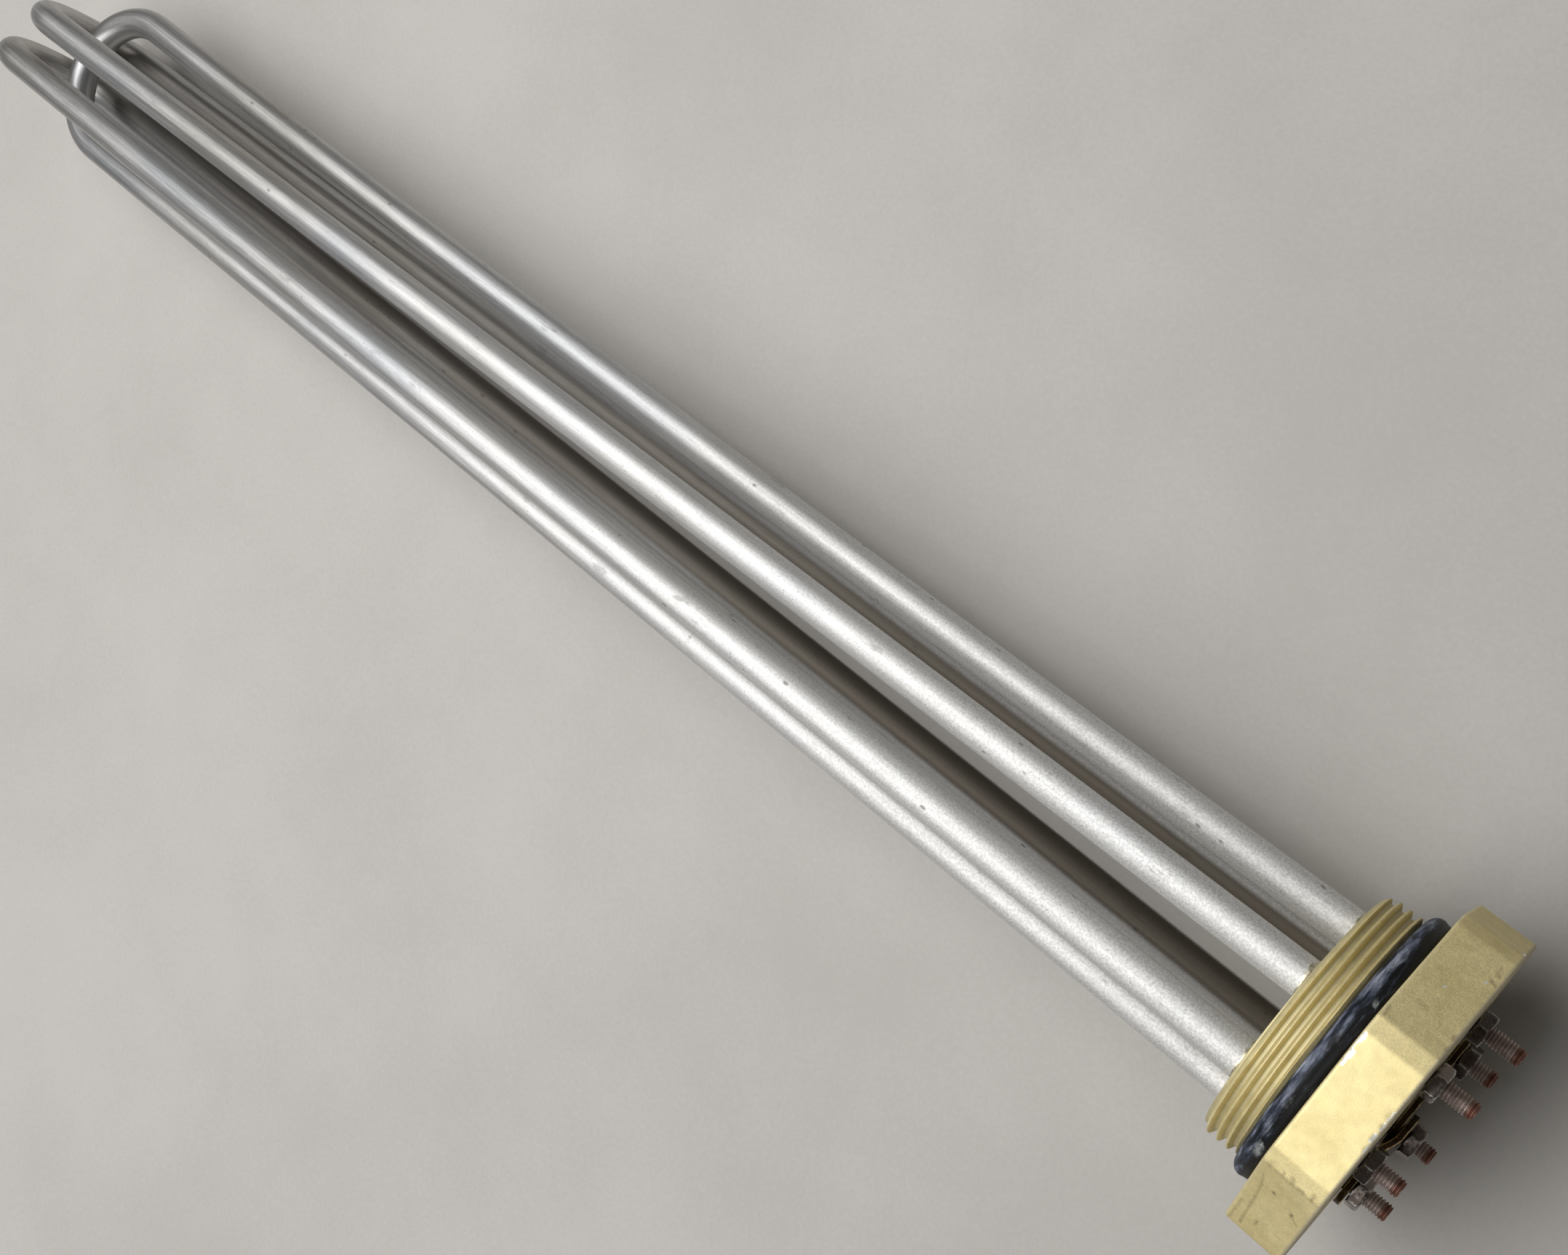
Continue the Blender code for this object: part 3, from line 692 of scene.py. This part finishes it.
def makeSteel():
    material, tree, shader = newMaterial("stainlessTube")
    place = addNode(tree, "ShaderNodeAttribute", attribute_name="tubePlace").outputs["Vector"]
    world = placeInMm(tree)
    grain = useGroup(grainGroup, place, 1.9)
    stain = useGroup(stainGroup, stretch(place, 0.45, 1.0, 1.0), 0.22, Amount=0.5)
    lines = useGroup(scratchGroup, stretch(place, 0.045, 1.0, 1.0), 1.5, Amount=0.7)
    cross = useGroup(scratchGroup, stretch(place, 0.55, 0.55, 0.12), 0.8, Amount=0.45)
    streak = mottle(stretch(place, 0.012, 1.0, 1.0), 0.75, 3.0, 0.6)
    thin = mottle(stretch(place, 0.035, 1.0, 1.0), 3.4, 2.0, 0.6)
    broad = mottle(stretch(place, 0.30, 1.0, 1.0), 0.05, 2.0, 0.5)
    colour = tint(spread(streak, 0.36, 0.66), steelLook["colour"], steelLook["light"])
    colour = wash(colour, spread(broad, 0.48, 0.66), 0.55, steelLook["warm"])
    colour = wash(colour, spread(broad, 0.50, 0.34), 0.5, steelLook["cool"])
    shade = spread(thin, 0.3, 0.7, 0.86, 1.08)
    colour = tint(1.0, colour, shade, "MULTIPLY")
    east = follow("ShaderNodeSeparateXYZ", {0: world})[0]
    frost = spread(east, 330.0, 20.0)                # duller and whiter towards the plug
    frostGrain = times(frost, spread(grain["Value"], 0.0, 1.0, 0.60, 0.95))
    colour = tint(frostGrain, colour, steelLook["frost"])
    colour = tint(plus(times(frost, 0.7), 0.3), colour,
                  spread(grain["Value"], 0.0, 1.0, 0.88, 1.05), "MULTIPLY")
    flecks = useGroup(stainGroup, stretch(place, 0.55, 1.0, 1.0), 0.05, Amount=0.62)
    specks = times(flecks["Spot"], spread(broad, 0.40, 0.52, 0.0, 0.6))
    dirt = larger(times(stain["Patch"], 0.35), stain["Spot"])
    dirt = times(larger(dirt, specks), 0.75)
    colour = tint(dirt, colour, steelLook["pit"])
    colour = wash(colour, cross["Line"], 0.5, steelLook["frost"])
    # painted shade: the tube sides facing into the bundle, lower tubes most, take a dark scale colour, less
    # towards the bends
    inner = spread(plus(maskOf(tree, "innerShadeMask"), times(broad, 0.3)), 0.15, 0.95)
    inner = times(inner, spread(east, 430.0, 60.0, 0.62, 0.95))
    colour = tint(inner, colour, steelLook["scale"])
    rough = spread(streak, 0.3, 0.7, 0.42, 0.50)
    satin = spread(east, 430.0, 0.0)
    rough = plus(rough, times(satin, 0.25))
    rough = plus(rough, times(dirt, 0.25))
    height = plus(times(thin, 0.45), times(grain["Height"], spread(frost, 0, 1, 0.25, 0.8)))
    height = less(height, times(lines["Line"], 0.3))
    height = less(height, times(cross["Line"], 0.5))
    dress(shader, colour, rough, bump(height, 0.00008, 0.5), 1.0)
    return material


def hairpinPath(hairpin, start):
    # centre line as (along, side, up), the same route as the solid's
    first, second = (Vector(tubeCentre(number)) for number in hairpin["places"])
    middle, half = (first + second) / 2, (first - second) / 2
    radius = half.length
    apex = hairpin["reach"] - tubeForm["radius"]
    bendStart = apex - radius
    sprung = Vector(hairpin["sprung"])

    def setAside(along, across, bow=0.0):
        run = max(0.0, (along - plugFront) / (apex - plugFront))
        leg = min(1.0, max(0.0, (along - plugFront) / (bendStart - plugFront)))
        place = across + sprung * run + half.normalized() * bow * 4 * leg * (1 - leg)
        return Vector((along, place.x, place.y))

    steps = tubeForm["legSteps"]
    heights = [start, plugFront] + [plugFront + (bendStart - plugFront) * step / steps
                                    for step in range(1, steps)]
    path = [setAside(along, first) for along in heights]
    for step in range(tubeForm["bendSteps"] + 1):
        angle = math.pi * step / tubeForm["bendSteps"]
        path.append(setAside(bendStart + radius * math.sin(angle), middle + half * math.cos(angle)))
    return path + [setAside(along, second, hairpin["bow"]) for along in reversed(heights)]


def sweepTube(form, path, radius, layer, inside, shift=0.0):
    # rings carried along the path; each vertex keeps its place on the unrolled, straight tube
    # and how far it faces the inside of the bundle, lower tubes most, which sets the painted shade there
    points = [spot(*place) for place in path]
    aims = []
    for step in range(len(points)):
        before, after = points[max(0, step - 1)], points[min(len(points) - 1, step + 1)]
        aims.append((after - before).normalized())
    side = aims[0].orthogonal().normalized()
    around = tubeForm["around"]
    run, rows = 0.0, []
    for step, (point, aim) in enumerate(zip(points, aims)):
        if step:
            run += (point - points[step - 1]).length / mm
            side = (side - aim * side.dot(aim)).normalized()
        other = aim.cross(side)
        row = []
        for turn in range(around):
            angle = tau * turn / around
            out = side * math.cos(angle) + other * math.sin(angle)
            vert = form.verts.new(point + out * radius * mm)
            vert[layer] = Vector((run + shift, radius * math.cos(angle) + shift * 0.3,
                                  radius * math.sin(angle)))
            inward = Vector((0, -point.y, -point.z)).normalized()
            amount = ease(math.hypot(point.y, point.z), 0.004, 0.014) * ease(-point.z, 0.002, 0.012)
            vert[inside] = ease(out.dot(inward), 0.40, 0.93) * amount
            row.append(vert)
        rows.append(row)
    joinRows(form, rows)
    return rows


def buildTubes():
    steel = makeSteel()
    for number, (side, hairpin) in enumerate(tubeForm["hairpins"].items()):
        form = bmesh.new()
        layer = form.verts.layers.float_vector.new("tubePlace")
        inside = form.verts.layers.float.new("innerShadeMask")
        path = hairpinPath(hairpin, tubeForm["start"])
        outer = sweepTube(form, path, tubeForm["radius"], layer, inside, 300.0 * number)
        sparse = path[:2] + path[2:-2:4] + path[-2:]
        inner = sweepTube(form, sparse, tubeForm["radius"] - tubeForm["wall"], layer, inside)
        for end in (0, -1):
            joinRows(form, [outer[end], inner[end]])
        finishPiece(f"heatingTube_{side}", form, steel, f"sheath_{side}", 50)


buildTubes()
print("tubes made")


# braze that seals the tubes in the plug

brazeForm = {"outer": 5.5, "height": 1.15, "steps": 56, "bits": 7}
brazeLook = {
    "dark": (0.46, 0.40, 0.27, 1), "light": (0.66, 0.60, 0.45, 1), "dirt": (0.12, 0.09, 0.06, 1),
    "grain": 1.7, "patches": 0.7, "stain": 0.8, "rough": (0.32, 0.52), "bump": (0.00015, 0.6),
    "metallic": 0.95,
}


def buildBraze():
    form = bmesh.new()
    steps, inner = brazeForm["steps"], tubeForm["radius"] - 0.02
    angles = [tau * step / steps for step in range(steps)]
    for number in range(6):
        centre = tubeCentre(number)
        rows = []
        for level in range(brazeForm["bits"] + 1):
            share = level / brazeForm["bits"]
            row = []
            for angle in angles:
                circling = Vector((2.2 * math.cos(angle) + 9 * number, 2.2 * math.sin(angle), 0.0))
                wave = noise.noise(circling)                # the fillet is uneven round the tube
                reach = (brazeForm["outer"] - tubeForm["radius"]) * (1 + 0.35 * wave)
                rise = brazeForm["height"] * (1 + 0.4 * wave)
                row.append(onRound(plugFront + 0.02 + rise * share ** 2,
                                   inner + reach * (1 - share) ** 2, angle, centre))
            rows.append(row)
        rows += [circle(along, radius, steps, centre)
                 for along, radius in ((plugFront - 1.2, inner), (plugFront - 1.2, bores["bore"]),
                                       (plugFront + 0.01, bores["bore"]))]
        addSkin(form, rows, closed=True)
    finishPiece("brazeRings", form, makePlain("brazeMetal", brazeLook), None, 60)


buildBraze()
print("braze made")


# terminals: studs, bushes, nuts and link plates

terminals = [
    {"height": 9.6, "links": 1, "turn": 28}, {"height": 8.4, "links": 0, "turn": 5},
    {"height": 9.8, "links": 0, "turn": 29}, {"height": 10.4, "links": 0, "turn": 14},
    {"height": 9.5, "links": 1, "turn": 52}, {"height": 9.6, "links": 2, "turn": 26},
]
studForm = {"crest": 1.95, "pitch": 0.7, "depth": 0.40, "shank": 1.65, "depthEnd": 45.0, "around": 28,
            "rowsPerTurn": 8, "tip": 0.45, "nose": 0.9, "threadEnd": 1.4, "fillStart": 8.3}
nutForm = {"acrossFlats": 7.0, "thickness": 2.8, "corner": 0.22, "hole": 2.02, "sink": 0.35,
           "flatShare": 0.97, "chamfer": 30, "lip": 0.06, "flank": 0.72}
linkForm = {"width": 9.8, "thickness": 1.4, "land": 5.4, "hole": 2.25, "bevel": 0.16}
seatGap = 0.2
stackBottom = 0.1 + seatGap
stackStep = linkForm["thickness"] + seatGap
metalLook = {
    "stud": {"dark": (0.48, 0.395, 0.365, 1), "light": (0.62, 0.530, 0.490, 1), "groove": 0.12,
             "stain": 0.20, "rough": (0.52, 0.66)},
    "nut": {"dark": (0.150, 0.122, 0.105, 1), "light": (0.225, 0.190, 0.170, 1), "groove": 0.0,
            "stain": 0.35, "rough": (0.15, 0.27)},
    "tarnish": (0.070, 0.048, 0.036, 1), "bareAndGlint": (0.74, 0.71, 0.68, 1), "copper": (0.31, 0.165, 0.125, 1),
    "linkBrass": (0.040, 0.026, 0.015, 1), "linkDull": (0.085, 0.055, 0.028, 1),
    "linkBright": (0.66, 0.50, 0.26, 1), "linkStain": (0.020, 0.013, 0.009, 1),
}


def makeNickel(name, look):
    material, tree, shader = newMaterial(name)
    place = placeInMm(tree)
    grain = useGroup(grainGroup, place, 0.9)
    stain = useGroup(stainGroup, place, 0.22, Amount=0.85)
    rubGlint = useGroup(rubGlintGroup, place, 1.6, Edge=maskOf(tree, "edgeMask"))
    colour = tint(grain["Value"], look["dark"], look["light"])
    colour = wash(colour, stain["Patch"], look["stain"], metalLook["tarnish"])
    colour = wash(colour, maskOf(tree, "grooveMask"), look["groove"], metalLook["tarnish"])
    colour = tint(maskOf(tree, "tipMask"), colour, metalLook["copper"])
    # painted highlights along the nut edges and stud crests, also bare metal where they are rubbed
    colour = wash(colour, rubGlint["Mask"], 0.5, metalLook["bareAndGlint"])
    rough = spread(grain["Value"], 0, 1, *look["rough"])
    rough = plus(rough, times(stain["Patch"], 0.2))
    dress(shader, colour, rough, bump(grain["Height"], 0.00005, 0.5), 1.0)
    return material


def makeLinkBrass():
    material, tree, shader = newMaterial("linkBrass")
    place = placeInMm(tree)
    grain = useGroup(grainGroup, place, 2.0)
    stain = useGroup(stainGroup, place, 0.3, Amount=0.8)
    rubGlint = useGroup(rubGlintGroup, place, 1.4, Edge=maskOf(tree, "edgeMask"))
    lines = useGroup(scratchGroup, stretch(place, 1.0, 0.25, 0.25), 0.9, Amount=0.6)
    colour = tint(grain["Value"], metalLook["linkBrass"], metalLook["linkDull"])
    colour = wash(colour, stain["Patch"], 0.75, metalLook["linkStain"])
    colour = wash(colour, lines["Line"], 0.25, metalLook["linkBright"])
    # painted highlights along the plate edges, also bare brass where they are rubbed
    colour = tint(rubGlint["Mask"], colour, metalLook["linkBright"])
    dress(shader, colour, spread(grain["Value"], 0, 1, 0.28, 0.44),
          bump(grain["Height"], 0.00006, 0.5), 1.0)
    return material


# ceramic bush as (along, radius)
bushProfile = [(8.3, 2.25), (8.3, 3.15), (3.1, 3.15), (3.1, 5.1), (3.0, 5.2), (0.1, 5.2),
               (-0.04, 5.14), (-0.1, 5.0), (-0.1, 2.45), (0.1, 2.25)]
bushLook = {
    "dark": (0.58, 0.55, 0.48, 1), "light": (0.70, 0.67, 0.60, 1), "dirt": (0.26, 0.20, 0.14, 1),
    "grain": 2.6, "patches": 0.75, "stain": 0.6, "rough": (0.45, 0.62), "bump": (0.00006, 0.4),
    "metallic": 0.0,
}


def buildStud(number, terminal, nickel):
    form = bmesh.new()
    centre = tubeCentre(number)
    size = studForm
    start, end = -terminal["height"], size["threadEnd"]

    def threaded(along, angle):
        phase = ((along - start) / size["pitch"] - angle / tau) % 1.0
        slope = abs(phase - 0.5) * 2
        cut = ease(slope, 0.12, 0.92)
        ends = min(size["crest"] - size["tip"] + (along - start), size["crest"])
        if along >= end - 0.001:
            return size["crest"]
        return min(size["crest"] - size["depth"] * cut * ease(end - along, 0.0, 0.7), ends)

    first = [(start + 0.06, 0.0001), (start, size["nose"])]
    last = [(size["fillStart"], size["crest"]), (size["fillStart"] + 0.2, size["shank"]),
            (size["depthEnd"], size["shank"]), (size["depthEnd"], 0.0001)]
    first, last = ([circle(*ring, size["around"], centre, 1) for ring in rings] for rings in (first, last))
    addSkin(form, first + climbingRows(size, start, end, threaded, centre) + last, wrap=False)

    def groove(co):
        along, away = outward(co, centre)
        return ease(size["crest"] - away, 0.08, size["depth"]) if start + 0.5 < along < end else 0.0

    def tip(co):
        return ease(inMm(co)[0] + 0.25 * waver(co, 0.8, number), start + 1.9, start + 1.2)

    def edges(co):
        along, away = outward(co, centre)
        return 0.5 * ease(away, size["crest"] - 0.07, size["crest"] - 0.01) if along < 0 else 0.0

    setMasks(form, grooveMask=groove, tipMask=tip, edgeMask=edges)
    finishPiece(f"terminalStud_{number + 1}", form, nickel, f"terminal_pin_{number + 1}",
                40)


def buildNut(number, terminal, nickel):
    form = bmesh.new()
    centre = tubeCentre(number)
    size = nutForm
    half, flatRadius = size["thickness"] / 2, size["acrossFlats"] / 2 * size["flatShare"]
    # the near face bears on the bush or on the link plates
    middle = -(stackBottom + terminal["links"] * stackStep) - half
    corners = regularCorners(6, size["acrossFlats"], math.radians(terminal["turn"]))
    outline = [place for place, out in roundedOutline(corners, size["corner"], 0.6, 3)]
    flat = [place.normalized() * min(flatRadius, place.length) for place in outline]

    def level(height, places):
        return [(place, height) for place in places]

    def chamfered(places, sunk=0.0):
        # corners pulled down to the cone that bevels both faces
        slope = math.tan(math.radians(size["chamfer"]))
        return [(place, half - max(0.0, place.length - flatRadius) * slope - sunk) for place in places]

    hole, sink = size["hole"], size["sink"]
    block = [level(height, [place.normalized() * radius for place in outline])
             for radius, height in ((hole, half - sink), (hole + sink, half))]
    block.append(level(half, flat))
    for share in (0.5, 0.93):
        block.append(chamfered([inner.lerp(outer, share) for inner, outer in zip(flat, outline)]))
    block += [chamfered(outline, size["lip"]), level(half - size["flank"], outline)]
    rows = []
    for sign, blockRows in ((1, block), (-1, block[::-1])):
        rows += [[spot(middle + sign * height, centre[0] + place.x, centre[1] + place.y)
                  for place, height in row] for row in blockRows]
    addSkin(form, rows, closed=True)

    def edges(co):
        along, away = outward(co, centre)
        corner = ease(away, size["acrossFlats"] / 2 + 0.28, size["acrossFlats"] / 2 + 0.45)
        rim = ease(abs(along - middle), half - 0.5, half - 0.2) if away > flatRadius - 0.1 else 0.0
        return max(0.85 * corner, 0.8 * rim)

    setMasks(form, edgeMask=edges, grooveMask=lambda co: 0.0, tipMask=lambda co: 0.0)
    finishPiece(f"terminalNut_{number + 1}", form, nickel, f"terminal_nut_{number + 1}",
                24)


def buildBush(number, steatite):
    form = bmesh.new()
    addSkin(form, [circle(*ring, 48, tubeCentre(number)) for ring in bushProfile], closed=True)
    finishPiece(f"terminalBush_{number + 1}", form, steatite, f"insulating_bush_{number + 1}",
                40)


def buildLinkPlate(name, first, second, lift, linkBrass, replaced):
    # plate with round ends and two holes, joggled where it laps the other one
    size = linkForm
    start, finish = Vector(tubeCentre(first)), Vector(tubeCentre(second))
    span = finish - start
    length = span.length
    aim = span.normalized()
    side = Vector((-aim.y, aim.x))
    radius = size["width"] / 2
    outline = []
    for centre, turn in ((length, -90), (0.0, 90)):
        for step in range(25):
            angle = math.radians(turn + 180 * step / 24)
            outline.append(Vector((centre + radius * math.cos(angle), radius * math.sin(angle))))
    form = bmesh.new()
    loop = [form.verts.new((point.x, point.y, 0)) for point in outline]
    holes = []

    def cutAt(place, facing):
        bmesh.ops.bisect_plane(form, geom=form.verts[:] + form.edges[:] + form.faces[:],
                               plane_co=place, plane_no=facing)

    for centre in (0.0, length):
        turns = [tau * step / 36 for step in range(36)]
        holes.append([form.verts.new((centre + size["hole"] * math.cos(turn),
                                      size["hole"] * math.sin(turn), 0)) for turn in turns])
    fillBetween(form, [loop] + holes)
    for step in range(1, 9):
        cut = size["land"] + (length - 2 * size["land"]) * step / 9
        cutAt((cut, 0, 0), (1, 0, 0))
    top = bmesh.ops.extrude_face_region(form, geom=form.faces[:])
    raised = [item for item in top["geom"] if isinstance(item, bmesh.types.BMVert)]
    bmesh.ops.translate(form, verts=raised, vec=(0, 0, size["thickness"]))
    bmesh.ops.recalc_face_normals(form, faces=form.faces)
    sharp = [edge for edge in form.edges if len(edge.link_faces) == 2 and edge.calc_face_angle() > 0.7]
    bmesh.ops.bevel(form, geom=sharp, offset=size["bevel"], segments=2, profile=0.5, affect="EDGES")
    for share in (0.3, 0.7):
        cutAt((0, 0, size["thickness"] * share), (0, 0, 1))
    layer = form.verts.layers.float.new("edgeMask")
    for vert in form.verts:
        x, y, z = vert.co
        beyond = max(0.0, -x, x - length)
        rim = radius - (math.hypot(beyond, y) if beyond else abs(y))
        hole = min(math.hypot(x, y), math.hypot(x - length, y)) - size["hole"]
        corner = ease(min(z, size["thickness"] - z), 0.30, 0.12)
        vert[layer] = corner * ease(min(rim, hole), 0.30, 0.05)
        share = ease(x, size["land"], length - size["land"])
        level = z + lift * share
        place = start + aim * x + side * y
        vert.co = spot(-(stackBottom + level), place.x, place.y)
    finishPiece(name, form, linkBrass, replaced, 35, 0.0002)


def buildTerminals():
    steatite, linkBrass = makePlain("steatite", bushLook), makeLinkBrass()
    studSteel = makeNickel("studSteel", metalLook["stud"])
    nutNickel = makeNickel("nutNickel", metalLook["nut"])
    for number, terminal in enumerate(terminals):
        buildStud(number, terminal, studSteel)
        buildNut(number, terminal, nutNickel)
        buildBush(number, steatite)
    buildLinkPlate("linkPlate_lower", 4, 5, 0.0, linkBrass, "star_link_lower")
    buildLinkPlate("linkPlate_upper", 0, 5, stackStep, linkBrass, "star_link_upper")


buildTerminals()
print("terminals made")


# pieces inside the tubes keep their solids

innerLook = {
    "powder": (0.64, 0.62, 0.57, 1), "powderPale": (0.80, 0.79, 0.75, 1), "turnGapShade": (0.09, 0.08, 0.075, 1),
    "wire": (0.34, 0.32, 0.30, 1), "scorched": (0.20, 0.17, 0.15, 1), "coilPitch": 0.9,
}


def makePowder():
    material, tree, shader = newMaterial("magnesiaPowder")
    grain = useGroup(grainGroup, placeInMm(tree), 2.0)
    colour = tint(grain["Value"], innerLook["powder"], innerLook["powderPale"])
    dress(shader, colour, 0.9, bump(grain["Height"], 0.0001, 0.6))
    return material


def makeCoilWire():
    # a band of turns along the rod, since the solid is the coil's outer shape
    material, tree, shader = newMaterial("nichromeCoil")
    place = placeInMm(tree)
    along = follow("ShaderNodeSeparateXYZ", {0: place})[0]
    turns = reckon("SINE", times(along, tau / innerLook["coilPitch"]))
    grain = useGroup(grainGroup, place, 3.0)
    # painted shade: the gaps between the turns are dark
    colour = tint(spread(turns, -1.0, 1.0), innerLook["turnGapShade"], innerLook["wire"])
    colour = wash(colour, grain["Value"], 0.3, innerLook["scorched"])
    dress(shader, colour, spread(grain["Value"], 0, 1, 0.4, 0.6), bump(turns, 0.0002, 0.8), 1.0)
    return material


powder, coilWire = makePowder(), makeCoilWire()
for side in tubeForm["hairpins"]:
    for nodeName, material in ((f"magnesia_fill_{side}", powder), (f"resistance_coil_{side}", coilWire)):
        for item in nodes[nodeName].material_slots:
            item.material = material
print("inner pieces finished")


# table, light and camera

tableForm = {"reach": 1.6, "below": 0.00003, "colour": (0.43, 0.412, 0.388, 1),
             "dark": (0.375, 0.358, 0.335, 1), "bounce": (0.14, 0.132, 0.120, 1),
             # m along X: where the head's lower front edge lies, and where tubes may touch from
             "headEdge": (-0.0162, 0.0), "farTubes": 0.1}


def makeTable():
    material, tree, shader = newMaterial("paleTable")
    place = placeInMm(tree)
    cloud = mottle(place, 0.012, 4.0, 0.6)
    fine = mottle(place, 0.9, 3.0, 0.6)
    share = reckon("MULTIPLY_ADD", fine, 0.35, times(cloud, 0.65))
    colour = tint(spread(share, 0.3, 0.7), tableForm["dark"], tableForm["colour"])
    # pale where it is seen, dim in what it throws back
    ray = addNode(tree, "ShaderNodeLightPath").outputs
    mirrored = larger(ray["Is Glossy Ray"], ray["Is Transmission Ray"])
    seen = larger(ray["Is Camera Ray"], mirrored)
    colour = tint(seen, tableForm["bounce"], colour)
    dress(shader, colour, 0.7, bump(fine, 0.00008, 0.4))
    return material


def buildTable():
    # rests under the head's lower front edge and the lowest bend
    points = []
    for item in bpy.data.objects:
        if item.type == "MESH" and not item.hide_render and item.get("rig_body"):
            points += [vert.co.copy() for vert in item.data.vertices]
    behind, ahead = tableForm["headEdge"]
    lowEdge = min((point for point in points if behind < point.x < ahead), key=lambda point: point.z)
    slope = min((point.z - lowEdge.z) / (point.x - lowEdge.x) for point in points
                if point.x > tableForm["farTubes"])
    level = min(point.z - slope * point.x for point in points) - tableForm["below"]
    form = bmesh.new()
    reach = tableForm["reach"]
    corners = [(x, y, level + slope * x) for x, y in ((-reach, -reach), (reach, -reach), (reach, reach),
                                                       (-reach, reach))]
    form.faces.new([form.verts.new(corner) for corner in corners])
    newItem("table", newMesh("table", form, makeTable()))
    print("table slope", round(math.degrees(math.atan(slope)), 3), "level", round(level, 5))


room = {"colour": (0.50, 0.49, 0.475, 1), "strength": 0.20}
lamps = [
    # name, place, aim, size across and along the tubes, watts
    ("overhead", (0.46, 0.16, 1.00), (0.10, 0.02, 0.0), (1.90, 0.66), 19.0),
]


def buildLight():
    for name, place, aim, size, watts in lamps:
        lamp = bpy.data.lights.new(name, "AREA")
        lamp.shape = "ELLIPSE"
        lamp.size, lamp.size_y = size
        lamp.energy = watts
        item = newItem(name, lamp)
        item.location = place
        item.rotation_euler = (Vector(aim) - Vector(place)).to_track_quat("-Z", "Y").to_euler()
    world = bpy.data.worlds.new("room")
    bpy.context.scene.world = world
    world.use_nodes = True
    back = world.node_tree.nodes["Background"]
    fillSockets(back, {"Color": room["colour"], "Strength": room["strength"]})


# the fitted camera: mm of lens and sensor, metres, degrees
view = {"lens": 40.243, "sensor": 36, "place": (-0.02899, -0.08114, 0.36237),
        "turn": (4.833, 27.359, -142.532)}


def buildCamera():
    lens = bpy.data.cameras.new("view")
    lens.lens, lens.sensor_width = view["lens"], view["sensor"]
    lens.sensor_fit = "HORIZONTAL"
    lens.clip_start = 0.01
    camera = newItem("view", lens)
    camera.location = view["place"]
    camera.rotation_euler = [math.radians(turn) for turn in view["turn"]]
    bpy.context.scene.camera = camera


buildTable()
buildLight()
buildCamera()
bpy.context.scene.view_settings.view_transform = "Standard"
print("table, light and camera made")
